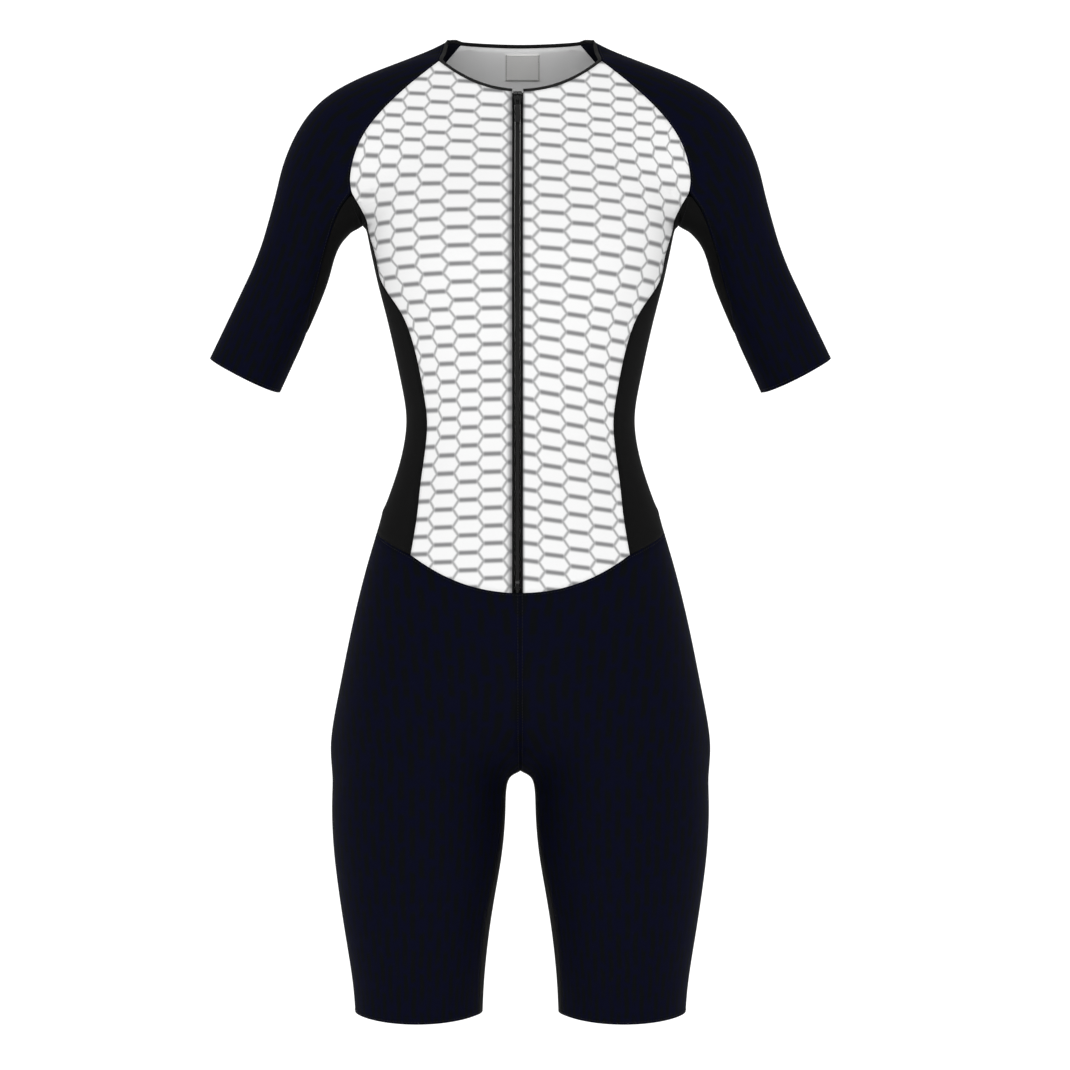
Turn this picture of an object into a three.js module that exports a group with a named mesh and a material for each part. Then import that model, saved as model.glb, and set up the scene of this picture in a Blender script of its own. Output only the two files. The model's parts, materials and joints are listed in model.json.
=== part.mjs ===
// Triathlon suit: one piece, short raglan sleeves, short legs, a full front zip.
// It is filled out as if worn, hollow, and open at the neck, cuffs and leg hems.
// Millimetres, +Z up. The front faces -Y and +X is the wearer's left.
// The origin is between the shoulders, where the wearer carries the suit.

import * as THREE from 'three';
import { mergeVertices } from 'three/addons/utils/BufferGeometryUtils.js';

// Driving dimensions.

const SHOULDER_POINT_HEIGHT = 10; // the neck end of the shoulder, above the origin
const LEG_HEM_DROP = 955; // every drop is measured down from the shoulder point
const CROTCH_DROP = 710.5;
const CLOTH_THICKNESS = 1.5;
const SEAM_GAP = 0.3;
const ZIP_CENTRE_X = -2.5;
const ZIP_WINDOW_HALF_WIDTH = 5.2; // from the zip's centre to the edge of a front panel
const BINDING_WIDTH = 3.6;
const BINDING_THICKNESS = 2.1;
const TAPE_THICKNESS = 1;
const TAPE_INNER_EDGE = 2.6; // from the zip's centre
const TAPE_OUTER_EDGE = 11;
const COIL_HALF_WIDTH = 2.3;
const COIL_THICKNESS = 2.2;

// Panel grids: the spaces between the points of a row.

const FRONT_SPACES = 7;
const SLEEVE_HALF_SPACES = 8; // from a raglan seam to the shoulder ridge
const SIDE_HALF_SPACES = 2; // from a side seam to the fold under the arm
const INNER_LEG_SPACES = 4;

// The form that the cloth is stretched over: a general figure in this suit's size.
// Torso sections are level, with exponent 2 for an ellipse and more for a squarer one.

const TORSO = [
  { drop: -40, half: 50, front: 6, back: 42, exponent: 1.8 },
  { drop: -4, half: 66, front: 10, back: 52, exponent: 1.8 },
  { drop: 14, half: 90, front: 22, back: 62, exponent: 1.7 },
  { drop: 26, half: 106, front: 41, back: 69, exponent: 1.75 },
  { drop: 57, half: 137, front: 63, back: 83, exponent: 1.9 },
  { drop: 90, half: 150, front: 80, back: 95, exponent: 2.05 },
  { drop: 136, half: 153, front: 99, back: 104, exponent: 2.25 },
  { drop: 178, half: 151.5, front: 111, back: 106, exponent: 2.35 },
  { drop: 215, half: 145, front: 114, back: 103, exponent: 2.35 },
  { drop: 268, half: 133, front: 104, back: 97, exponent: 2.3 },
  { drop: 327, half: 120.5, front: 93, back: 87, exponent: 2.2 },
  { drop: 371, half: 113.5, front: 88, back: 81, exponent: 2.2 },
  { drop: 415, half: 121, front: 89, back: 83, exponent: 2.2 },
  { drop: 474, half: 142.5, front: 95, back: 95, exponent: 2.25 },
  { drop: 548, half: 162, front: 101, back: 108, exponent: 2.3 },
  { drop: 626, half: 173, front: 101, back: 112, exponent: 2.35 },
  { drop: 713, half: 173.5, front: 94, back: 104, exponent: 2.4 },
];

// The bust is a soft rise on each front, given by the shaping of the panels.

const BUST = { x: 64, drop: 208, reach: 50, rise: 10 };

// An arm's axis lies in the plane y = 0, and its sections are square to the axis.

const ARM = [
  { x: 30, drop: 64, half: 40, front: 46, back: 54 },
  { x: 95, drop: 80, half: 56, front: 55, back: 61 },
  { x: 150, drop: 102, half: 62.5, front: 62, back: 65 },
  { x: 184, drop: 140, half: 54.5, front: 58, back: 60 },
  { x: 211, drop: 184.5, half: 37, front: 47, back: 48 },
  { x: 226, drop: 232, half: 37.5, front: 42, back: 43 },
  { x: 270, drop: 327, half: 38.5, front: 41, back: 41 },
  { x: 292, drop: 375, half: 39, front: 41, back: 41 },
];

// Leg sections are level ellipses round a centre line at x.

const LEG = [
  { drop: 520, x: 76, half: 50, front: 62, back: 64 },
  { drop: 580, x: 83, half: 68, front: 82, back: 92 },
  { drop: 640, x: 91, half: 80, front: 94, back: 114 },
  { drop: 724, x: 99.4, half: 85.2, front: 92, back: 104 },
  { drop: 783, x: 100.4, half: 84.8, front: 88, back: 92 },
  { drop: 861, x: 101.8, half: 73, front: 77, back: 79 },
  { drop: 930, x: 100, half: 64, front: 68, back: 68 },
  { drop: 990, x: 99.5, half: 62.5, front: 66, back: 66 },
];

const CROTCH_RISE = 60; // how much higher the form's underside is at its front and back
const CROTCH_ROUNDING = 30;
const ARM_LOWEST_DROP = 420; // no arm reaches below it
const LEG_BLEND = 26;
const ARM_BLEND_AT_SHOULDER = 36;
const ARM_BLEND_AT_ARMPIT = 8;
const SHOULDER_BLEND_DROP = 95;
const ARMPIT_BLEND_DROP = 165;

// Seams. Where two panels meet in front and behind at the same x and drop, one point
// serves both. A sleeve station gives its seam points, the ridge or outer edge
// opposite, a point inside the sleeve, and where its row crosses the centre lines.

const SLEEVE = [
  { seamX: 79, seamDrop: 24.5, backX: 60, backDrop: 0, ridgeX: 72, ridgeDrop: 8,
    midX: 58, midDrop: 62, frontCentre: 57.6, backCentre: -0.3 },
  { seamX: 113, seamDrop: 54, backX: 100, backDrop: 42, ridgeX: 122, ridgeDrop: 20,
    midX: 95, midDrop: 78, frontCentre: 78, backCentre: 40 },
  { seamX: 143, seamDrop: 86, backX: 141, backDrop: 84, ridgeX: 182, ridgeDrop: 47,
    midX: 140, midDrop: 100, frontCentre: 102, backCentre: 84 },
  { seamX: 159, seamDrop: 115, backX: 159, backDrop: 115, ridgeX: 214, ridgeDrop: 80,
    midX: 168, midDrop: 122, frontCentre: 125, backCentre: 118 },
  { seamX: 164.5, seamDrop: 143, backX: 164.5, backDrop: 143, ridgeX: 234, ridgeDrop: 118,
    midX: 186, midDrop: 140, frontCentre: 148, backCentre: 146 },
  { seamX: 163, seamDrop: 153.5, backX: 163, backDrop: 153.5, ridgeX: 238, ridgeDrop: 134,
    midX: 192, midDrop: 150, frontCentre: 157, backCentre: 157 },
  { seamX: 176, seamDrop: 170, backX: 176, backDrop: 170, ridgeX: 245, ridgeDrop: 158,
    midX: 203, midDrop: 172, frontCentre: 170, backCentre: 170 },
  { seamX: 188, seamDrop: 202, backX: 188, backDrop: 202, ridgeX: 254, ridgeDrop: 190,
    midX: 216, midDrop: 204, frontCentre: 202, backCentre: 202 },
  { seamX: 197, seamDrop: 237, backX: 197, backDrop: 237, ridgeX: 266, ridgeDrop: 214,
    midX: 230, midDrop: 232, frontCentre: 237, backCentre: 237 },
  { seamX: 213, seamDrop: 288, backX: 213, backDrop: 288, ridgeX: 285, ridgeDrop: 261,
    midX: 250, midDrop: 276, frontCentre: 288, backCentre: 288 },
  { seamX: 235.5, seamDrop: 344, backX: 235.5, backDrop: 344, ridgeX: 304.5, ridgeDrop: 310,
    midX: 270, midDrop: 327, frontCentre: 344, backCentre: 344 },
];
const CORNER_STATION = 5; // sleeve, front and side panel meet here
const TIP_STATION = 9; // the underarm gusset ends here
const RAGLAN_STEPS = 2; // rows for each station
const GUSSET_STEPS = 2;
const CUFF_STEPS = 3;
const CUFF_BOW = 0.1; // how far the cuff dips in front and behind, for each mm of depth

// Where the gusset folds round the underside of the arm, for the stations from the
// corner to the tip.

const UNDERARM_FOLD = [
  { x: 154, drop: 182 },
  { x: 165, drop: 192 },
  { x: 180, drop: 218 },
  { x: 193, drop: 247 },
  { x: 213, drop: 288 },
];

// A side station: the side seam, the fold at the suit's outline, and the row's drop at
// the centre lines of front and back. The first fold is the armpit.

const SIDE = [
  { seamX: 163, seamDrop: 153.5, foldX: 154, foldDrop: 182, centreDrop: 157 },
  { seamX: 152, seamDrop: 172, foldX: 150, foldDrop: 194, centreDrop: 174 },
  { seamX: 147, seamDrop: 192, foldX: 148, foldDrop: 205, centreDrop: 193 },
  { seamX: 139.5, seamDrop: 216, foldX: 145, foldDrop: 220, centreDrop: 216 },
  { seamX: 135, seamDrop: 240, foldX: 140, foldDrop: 241, centreDrop: 240 },
  { seamX: 112.5, seamDrop: 272.5, foldX: 133, foldDrop: 272.5, centreDrop: 272.5 },
  { seamX: 100.5, seamDrop: 309, foldX: 125, foldDrop: 309, centreDrop: 309 },
  { seamX: 93.5, seamDrop: 345, foldX: 117, foldDrop: 345, centreDrop: 345 },
  { seamX: 89.3, seamDrop: 375, foldX: 114, foldDrop: 375, centreDrop: 375 },
  { seamX: 92, seamDrop: 406, foldX: 118, foldDrop: 404, centreDrop: 408 },
  { seamX: 96, seamDrop: 435, foldX: 126, foldDrop: 429, centreDrop: 444 },
  { seamX: 99, seamDrop: 467, foldX: 135, foldDrop: 454, centreDrop: 488 },
  { seamX: 105, seamDrop: 503, foldX: 142, foldDrop: 478, centreDrop: 539.2 },
];
const SIDE_STEPS = 2;
const ROW_BOW = 2.2; // how late a row leaves its centre drop for its seam drop

// Rows of the shorts over the hips, and the inner-leg seam as an angle at the leg's
// centre line, from the direction to the other leg. The hem rises at its two sides.

const HIP_DROPS = [539.2, 560, 585, 612, 640, 666, 688, 705];
const CROTCH_CORNER = { depth: 19, drop: 714, centreDrop: 680 };
const INNER_SEAM = [
  { drop: 719, angle: 12, sideRise: 0 },
  { drop: 726, angle: 12, sideRise: 0 },
  { drop: 739, angle: 12.5, sideRise: 0 },
  { drop: 760, angle: 14, sideRise: 0 },
  { drop: 795, angle: 18, sideRise: 0 },
  { drop: 830, angle: 22.5, sideRise: 0 },
  { drop: 866, angle: 25, sideRise: 0 },
  { drop: 902, angle: 24, sideRise: 0 },
  { drop: 930, angle: 21.5, sideRise: 2 },
  { drop: LEG_HEM_DROP, angle: 19.5, sideRise: 5 },
];

// The zip's hardware, along the zip from its top end.

const STOP_LENGTH = 3;
const STOP_HALF_WIDTH = 2;
const STOP_THICKNESS = 2;
const STOP_CORNER = 0.5;
const TOP_STOP_START = 1;
const SLIDER_START = 5;
const SLIDER_LENGTH = 11;
const SLIDER_HALF_WIDTH = 4;
const SLIDER_FOOT_HALF_WIDTH = 2.8;
const SLIDER_PLATE = 1.4;
const SLIDER_CORNER = 1;
const BRIDGE_START = 7;
const BRIDGE_LENGTH = 6;
const BRIDGE_HEIGHT = 3.2;
const BRIDGE_WALL = 0.9;
const BRIDGE_WIDTH = 1.8;
const BRIDGE_CORNER = 0.8;
const TAB_LENGTH = 27;
const TAB_HALF_WIDTH = 2.6;
const TAB_EYE_HALF_WIDTH = 1.5;
const TAB_EYE_LENGTH = 5.6;
const TAB_THICKNESS = 1.1;
const TAB_CORNER = 0.9;
const TAB_RAISE = 0.2; // above the bridge's feet, so that the pin turns freely
const TAB_PIN_LENGTH = 1.2; // the bar of the eye that turns under the bridge
const BOTTOM_STOP_RISE = 10; // above the zip's lower end
const METAL_GAP = 0.3;

// The label inside the back of the neck.

const LABEL = { left: -15.6, right: 19.2, top: 5.2, bottom: 29.5, thickness: 1 };
const LABEL_SPACES = 4;

// Materials.

const WHITE_KNIT = { color: 0xf2f2f2, roughness: 0.75, metalness: 0 };
const NAVY_KNIT = { color: 0x0b0d1c, roughness: 0.7, metalness: 0 };
const BLACK_KNIT = { color: 0x181818, roughness: 0.7, metalness: 0 };
const BLACK_TAPE = { color: 0x191919, roughness: 0.8, metalness: 0 };
const BLACK_NYLON = { color: 0x303030, roughness: 0.45, metalness: 0 };
const BLACK_METAL = { color: 0x1c1c1c, roughness: 0.35, metalness: 0.6 };
const STOP_METAL = { color: 0x777777, roughness: 0.4, metalness: 0.8 };
const LABEL_CLOTH = { color: 0xd8d6d0, roughness: 0.8, metalness: 0 };

// A smooth curve through the rows of a table. The key column must rise, and without a
// key the rows are one apart.

function tableCurve(table, key = null) {
  const columns = Object.keys(table[0]);
  const keys = table.map((row, index) => (key ? row[key] : index));
  const last = table.length - 1;
  const slopes = table.map((row, index) => {
    const before = Math.max(index - 1, 0);
    const after = Math.min(index + 1, last);
    const span = keys[after] - keys[before];
    return Object.fromEntries(
      columns.map((name) => [name, (table[after][name] - table[before][name]) / span]),
    );
  });
  return (at) => {
    const place = Math.min(Math.max(at, keys[0]), keys[last]);
    let index = 0;
    while (index < last - 1 && keys[index + 1] < place) {
      index += 1;
    }
    const span = keys[index + 1] - keys[index];
    const t = (place - keys[index]) / span;
    const startShare = (1 + 2 * t) * (1 - t) ** 2;
    const endShare = t * t * (3 - 2 * t);
    const startSlope = t * (1 - t) ** 2 * span;
    const endSlope = t * t * (t - 1) * span;
    const row = {};
    for (const name of columns) {
      row[name] = startShare * table[index][name] + endShare * table[index + 1][name]
        + startSlope * slopes[index][name] + endSlope * slopes[index + 1][name];
    }
    return row;
  };
}

const torsoAt = tableCurve(TORSO, 'drop');
const legAt = tableCurve(LEG, 'drop');
const sleeveAt = tableCurve(SLEEVE);
const sideAt = tableCurve(SIDE);

const dropOf = (z) => SHOULDER_POINT_HEIGHT - z;
const heightOf = (drop) => SHOULDER_POINT_HEIGHT - drop;
const point = (x, y, drop) => new THREE.Vector3(x, y, heightOf(drop));

// The form as a field: negative inside, zero on the cloth's outer face, and about the
// distance in millimetres near it.

const FIELD_STEP = 0.5;

function asDistance(field, x, y, z) {
  const value = field(x, y, z);
  const slope = Math.hypot(
    (field(x + FIELD_STEP, y, z) - value) / FIELD_STEP,
    (field(x, y + FIELD_STEP, z) - value) / FIELD_STEP,
    (field(x, y, z + FIELD_STEP) - value) / FIELD_STEP,
  );
  return value / Math.max(slope, 0.5);
}

function sectionField(across, y, section) {
  const depth = y < 0 ? section.front : section.back;
  const power = section.exponent ?? 2;
  const size = ((Math.abs(across) / section.half) ** power
    + (Math.abs(y) / depth) ** power) ** (1 / power);
  return (size - 1) * Math.min(section.half, depth);
}

function bustRise(x, drop) {
  const across = (Math.abs(x) - BUST.x) / BUST.reach;
  const along = (drop - BUST.drop) / BUST.reach;
  return BUST.rise * Math.exp(-(across * across + along * along));
}

function torsoField(x, y, z) {
  const drop = dropOf(z);
  const section = torsoAt(drop);
  if (y < 0) {
    section.front += bustRise(x, drop);
  }
  return sectionField(x, y, section);
}

const AXIS_SAMPLES = 48;
const armAxis = (() => {
  const armAt = tableCurve(ARM);
  const samples = [];
  for (let i = 0; i <= AXIS_SAMPLES; i += 1) {
    samples.push(armAt((i / AXIS_SAMPLES) * (ARM.length - 1)));
  }
  return samples;
})();

function armField(x, y, z) {
  const drop = dropOf(z);
  let best = null;
  let bestDistance = Infinity;
  for (let i = 0; i < AXIS_SAMPLES; i += 1) {
    const start = armAxis[i];
    const end = armAxis[i + 1];
    const alongX = end.x - start.x;
    const alongDrop = end.drop - start.drop;
    const share = ((x - start.x) * alongX + (drop - start.drop) * alongDrop)
      / (alongX * alongX + alongDrop * alongDrop);
    const t = Math.min(Math.max(share, 0), 1);
    const distance = Math.hypot(x - start.x - t * alongX, drop - start.drop - t * alongDrop);
    if (distance < bestDistance) {
      bestDistance = distance;
      best = { start, end, t };
    }
  }
  const mix = (name) => best.start[name] * (1 - best.t) + best.end[name] * best.t;
  return sectionField(bestDistance, y, {
    half: mix('half'), front: mix('front'), back: mix('back'),
  });
}

function legField(x, y, z) {
  const section = legAt(dropOf(z));
  return sectionField(x - section.x, y, section);
}

function undersideField(x, y, z) {
  const lift = CROTCH_RISE * (y / TORSO.at(-1).front) ** 2;
  return dropOf(z) - (CROTCH_DROP - lift);
}

function softUnion(a, b, reach) {
  const share = Math.max(reach - Math.abs(a - b), 0) / reach;
  return Math.min(a, b) - (share * share * reach) / 4;
}

function armBlend(drop) {
  return THREE.MathUtils.lerp(
    ARM_BLEND_AT_SHOULDER,
    ARM_BLEND_AT_ARMPIT,
    THREE.MathUtils.smoothstep(drop, SHOULDER_BLEND_DROP, ARMPIT_BLEND_DROP),
  );
}

function formField(x, y, z) {
  const drop = dropOf(z);
  const torso = asDistance(torsoField, x, y, z);
  if (drop < ARM_LOWEST_DROP) {
    const arm = asDistance(armField, Math.abs(x), y, z);
    return softUnion(torso, arm, armBlend(drop));
  }
  if (drop < LEG[0].drop) {
    return torso;
  }
  const underside = asDistance(undersideField, x, y, z);
  const trunk = -softUnion(-torso, -underside, CROTCH_ROUNDING);
  const leftLeg = asDistance(legField, x, y, z);
  const rightLeg = asDistance(legField, -x, y, z);
  return softUnion(softUnion(trunk, leftLeg, LEG_BLEND), rightLeg, LEG_BLEND);
}

// The form's surface, found along a ray that starts inside it.

const RAY_STEP = 4;
const RAY_LIMIT = 320;
const BISECTIONS = 18;

function surfaceAlong(centre, direction) {
  const ray = direction.clone().normalize();
  const fieldAt = (t) => formField(
    centre.x + ray.x * t, centre.y + ray.y * t, centre.z + ray.z * t,
  );
  let inside = 0;
  let outside = RAY_STEP;
  while (fieldAt(outside) < 0 && outside < RAY_LIMIT) {
    inside = outside;
    outside += RAY_STEP;
  }
  for (let i = 0; i < BISECTIONS; i += 1) {
    const middle = (inside + outside) / 2;
    if (fieldAt(middle) < 0) {
      inside = middle;
    } else {
      outside = middle;
    }
  }
  return centre.clone().addScaledVector(ray, inside);
}

const FRONTWARD = -1;
const BACKWARD = 1;

function surfaceAt(x, drop, facing) {
  return surfaceAlong(point(x, 0, drop), new THREE.Vector3(0, facing, 0));
}

function outwardNormal(p) {
  const slope = (axis) => {
    const ahead = p.clone();
    const behind = p.clone();
    ahead[axis] += FIELD_STEP;
    behind[axis] -= FIELD_STEP;
    return formField(ahead.x, ahead.y, ahead.z) - formField(behind.x, behind.y, behind.z);
  };
  return new THREE.Vector3(slope('x'), slope('y'), slope('z')).normalize();
}

// A row of surface points that turns evenly from one target to the next, seen from a
// centre inside the form. The first and last targets are seam points and stay exact.

function turnRow(centre, targets, spaces) {
  const row = [targets[0].clone()];
  for (let k = 0; k < targets.length - 1; k += 1) {
    const start = targets[k].clone().sub(centre).normalize();
    const end = targets[k + 1].clone().sub(centre).normalize();
    const angle = start.angleTo(end);
    for (let i = 1; i <= spaces; i += 1) {
      const t = i / spaces;
      const direction = start.clone().multiplyScalar(Math.sin((1 - t) * angle))
        .addScaledVector(end, Math.sin(t * angle));
      row.push(surfaceAlong(centre, direction));
    }
  }
  row[row.length - 1] = targets.at(-1).clone();
  return row;
}

// Rows of the panels on the wearer's left. The right side mirrors them.

function stationList(first, last, steps) {
  const places = [];
  for (let place = first; place < last - 1e-6; place += 1 / steps) {
    places.push(place);
  }
  return places;
}

const raglanPlaces = [...stationList(0, CORNER_STATION, RAGLAN_STEPS), CORNER_STATION];
const gussetPlaces = stationList(CORNER_STATION, TIP_STATION, GUSSET_STEPS).slice(1);
const cuffPlaces = [
  ...stationList(TIP_STATION, SLEEVE.length - 1, CUFF_STEPS), SLEEVE.length - 1,
];
const sidePlaces = [...stationList(0, SIDE.length - 1, SIDE_STEPS), SIDE.length - 1];

const ARM_DOWN = point(SLEEVE.at(-1).midX, 0, SLEEVE.at(-1).midDrop)
  .sub(point(SLEEVE.at(-2).midX, 0, SLEEVE.at(-2).midDrop)).normalize();

function sleeveRow(place) {
  const station = sleeveAt(place);
  const centre = point(station.midX, 0, station.midDrop);
  const ridge = point(station.ridgeX, 0, station.ridgeDrop);
  if (place >= TIP_STATION) {
    const underarm = surfaceAlong(centre, point(station.seamX, 0, station.seamDrop).sub(centre));
    const bow = CUFF_BOW * (place - TIP_STATION) / (SLEEVE.length - 1 - TIP_STATION);
    const front = centre.clone().addScaledVector(ARM_DOWN, bow);
    const back = front.clone();
    front.y += FRONTWARD;
    back.y += BACKWARD;
    return turnRow(centre, [underarm, front, ridge, back, underarm], SLEEVE_HALF_SPACES / 2);
  }
  const frontSeam = surfaceAt(station.seamX, station.seamDrop, FRONTWARD);
  const backSeam = surfaceAt(station.backX, station.backDrop, BACKWARD);
  return turnRow(centre, [frontSeam, ridge, backSeam], SLEEVE_HALF_SPACES);
}

const STEEPEST_SINE = 0.96; // keeps a row's points apart where a seam nears the outline

// Front and back rows run from the zip's window, or the centre, to the raglan and side
// seams. Their points are spread evenly round the section.

function centreRow(edgeX, centreDrop, seam, facing) {
  const seamDrop = dropOf(seam.z);
  const outline = surfaceAlong(point(0, 0, seamDrop), new THREE.Vector3(1, 0, 0)).x;
  const turn = Math.asin(Math.min(seam.x / outline, STEEPEST_SINE));
  const row = [];
  for (let i = 0; i < FRONT_SPACES; i += 1) {
    const spread = Math.sin((turn * i) / FRONT_SPACES) / Math.sin(turn);
    const x = i === 0 ? edgeX : seam.x * spread;
    const drop = centreDrop + (seamDrop - centreDrop) * Math.max(x / seam.x, 0) ** ROW_BOW;
    row.push(surfaceAt(x, drop, facing));
  }
  row.push(seam.clone());
  return row;
}

const raglanRows = raglanPlaces.map(sleeveRow);
const cornerRow = raglanRows.at(-1);
const gussetRows = gussetPlaces.map(sleeveRow);
const cuffRows = cuffPlaces.map(sleeveRow);

function sideSeam(place, facing) {
  if (place === 0) {
    return facing === FRONTWARD ? cornerRow[0] : cornerRow.at(-1);
  }
  const station = sideAt(place);
  return surfaceAt(station.seamX, station.seamDrop, facing);
}

const seamPairs = sidePlaces.map((place) => ({
  place,
  front: sideSeam(place, FRONTWARD),
  back: sideSeam(place, BACKWARD),
}));

function bodyRows(edgeX, facing) {
  const side = facing === FRONTWARD ? 'front' : 'back';
  const upper = raglanPlaces.slice(0, -1).map((place, index) => {
    const row = raglanRows[index];
    const seam = facing === FRONTWARD ? row[0] : row.at(-1);
    return centreRow(edgeX, sleeveAt(place)[`${side}Centre`], seam, facing);
  });
  const lower = seamPairs.map((pair) => (
    centreRow(edgeX, sideAt(pair.place).centreDrop, pair[side], facing)
  ));
  return [...upper, ...lower];
}

// The side panel: from the gusset's tip on the sleeve, over the armpit, to the waist.

const TIP_SHARE = 0.93; // the gusset's blunt end, just short of the tip
const SIDE_CENTRE_INSET = 60; // from the side seam to the centre that its rows turn about
const FULL_INSET_STATION = 3;

function sideRows() {
  const foldAt = tableCurve(UNDERARM_FOLD);
  const arm = [...gussetPlaces].reverse().map((place, index) => {
    const row = gussetRows[gussetRows.length - 1 - index];
    const station = sleeveAt(place);
    const fold = foldAt(place - CORNER_STATION);
    const share = (place - CORNER_STATION) / (TIP_STATION - CORNER_STATION);
    const centre = point(station.seamX, 0, station.seamDrop)
      .lerp(point(station.midX, 0, station.midDrop), share);
    const targets = [row[0], point(fold.x, 0, fold.drop), row.at(-1)];
    return turnRow(centre, targets, SIDE_HALF_SPACES);
  });
  const tip = cuffRows[0][0];
  const end = arm[0].map((p) => p.clone().lerp(tip, TIP_SHARE));
  const body = seamPairs.map((pair) => {
    const station = sideAt(pair.place);
    const inset = SIDE_CENTRE_INSET * Math.min(pair.place / FULL_INSET_STATION, 1);
    const centre = point(station.seamX - inset, 0, station.seamDrop);
    const fold = point(station.foldX, 0, station.foldDrop);
    return turnRow(centre, [pair.front, fold, pair.back], SIDE_HALF_SPACES);
  });
  return [end, ...arm, ...body];
}

// The shorts: each half runs from centre front round the outside to centre back, and
// below the crotch from one inner-leg seam to the other.

const frontRows = bodyRows(0, FRONTWARD);
const backRows = bodyRows(0, BACKWARD);
const sideStrip = sideRows();
const waistRow = [
  ...frontRows.at(-1),
  ...sideStrip.at(-1).slice(1, -1),
  ...[...backRows.at(-1)].reverse(),
];

const LEG_TURN_START_DROP = 460; // above it the rows turn about the suit's own centre
const WAIST_FADE_POWER = 1.5; // how soon the rows forget the waist seam's dip

function levelAngle(p, centreX) {
  const angle = Math.atan2(p.x - centreX, -p.y);
  return angle < -Math.PI / 2 ? angle + 2 * Math.PI : angle;
}

function shortsRow(drop, first, last, index, sideRise = 0) {
  const turnShare = THREE.MathUtils.smoothstep(drop, LEG_TURN_START_DROP, CROTCH_DROP);
  const centreX = legAt(drop).x * turnShare;
  const fade = Math.max(1 - index / (HIP_DROPS.length - 2), 0) ** WAIST_FADE_POWER;
  const spaces = waistRow.length - 1;
  const firstAngle = levelAngle(first, centreX);
  const lastAngle = levelAngle(last, centreX);
  return waistRow.map((waistPoint, i) => {
    if (i === 0 || i === spaces) {
      return (i === 0 ? first : last).clone();
    }
    const even = firstAngle + (lastAngle - firstAngle) * (i / spaces);
    const angle = THREE.MathUtils.lerp(even, levelAngle(waistPoint, centreX), fade);
    const lift = (waistPoint.z - waistRow[0].z) * fade + sideRise * Math.sin(angle) ** 2;
    const centre = point(centreX, 0, drop - lift);
    return surfaceAlong(centre, new THREE.Vector3(Math.sin(angle), -Math.cos(angle), 0));
  });
}

function innerSeamPoint(row, facing) {
  const centreX = legAt(row.drop).x;
  const angle = THREE.MathUtils.degToRad(row.angle);
  const direction = new THREE.Vector3(-Math.cos(angle), facing * Math.sin(angle), 0);
  const drop = row.drop - row.sideRise * Math.cos(angle) ** 2;
  return surfaceAlong(point(centreX, 0, drop), direction);
}

// Where the centre seam, the inner-leg seams and the crotch meet.

function crotchCorner(facing) {
  const centre = point(0, 0, CROTCH_CORNER.centreDrop);
  const target = point(0, facing * CROTCH_CORNER.depth, CROTCH_CORNER.drop);
  return surfaceAlong(centre, target.sub(centre));
}

function hipRow(drop, index) {
  if (index === 0) {
    return waistRow;
  }
  const seamPoint = (facing) => (
    index === HIP_DROPS.length - 1 ? crotchCorner(facing) : surfaceAt(0, drop, facing)
  );
  return shortsRow(drop, seamPoint(FRONTWARD), seamPoint(BACKWARD), index);
}

const hipRows = HIP_DROPS.map(hipRow);
const legRows = INNER_SEAM.map((row) => shortsRow(
  row.drop,
  innerSeamPoint(row, FRONTWARD),
  innerSeamPoint(row, BACKWARD),
  HIP_DROPS.length,
  row.sideRise,
));

function innerLegRows() {
  const top = hipRows.at(-1);
  const underside = point(0, 0, CROTCH_DROP);
  const crotchRow = turnRow(
    point(0, 0, CROTCH_CORNER.centreDrop),
    [top[0], underside, top.at(-1)],
    INNER_LEG_SPACES / 2,
  );
  const rows = legRows.map((legRow, index) => {
    const drop = INNER_SEAM[index].drop - INNER_SEAM[index].sideRise;
    const centre = point(legAt(drop).x, 0, drop);
    return turnRow(centre, [legRow[0], point(0, 0, drop), legRow.at(-1)], INNER_LEG_SPACES / 2);
  });
  return [crotchRow, ...rows];
}

// A wall of cloth over a grid of surface points. Its edges stand back from the seams by
// half the seam gap, and its faces lie at the given distances outside the surface.

function insetFrom(p, inner, along, distance) {
  const across = inner.clone().sub(p);
  const edge = along.clone().normalize();
  const square = across.addScaledVector(edge, -across.dot(edge));
  return square.length() < 1e-6 ? square : square.normalize().multiplyScalar(distance);
}

function insetGrid(rows, distance) {
  const lastRow = rows.length - 1;
  return rows.map((row, r) => row.map((p, c) => {
    const lastColumn = row.length - 1;
    const moved = p.clone();
    const before = rows[Math.max(r - 1, 0)][c];
    const after = rows[Math.min(r + 1, lastRow)][c];
    const left = row[Math.max(c - 1, 0)];
    const right = row[Math.min(c + 1, lastColumn)];
    if (c === 0 || c === lastColumn) {
      const inner = c === 0 ? right : left;
      moved.add(insetFrom(p, inner, after.clone().sub(before), distance));
    }
    if (r === 0 || r === lastRow) {
      const inner = r === 0 ? after : before;
      moved.add(insetFrom(p, inner, right.clone().sub(left), distance));
    }
    return moved;
  }));
}

function wallGeometry(rows, outside = 0, thickness = CLOTH_THICKNESS, gap = SEAM_GAP / 2) {
  const grid = insetGrid(rows, gap);
  const columns = rows[0].length;
  const layers = [outside, outside - thickness].map((height) => grid.map((row, r) => (
    row.map((p, c) => p.clone().addScaledVector(outwardNormal(rows[r][c]), height))
  )));
  return closedShell(layers, rows.length, columns);
}

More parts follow.
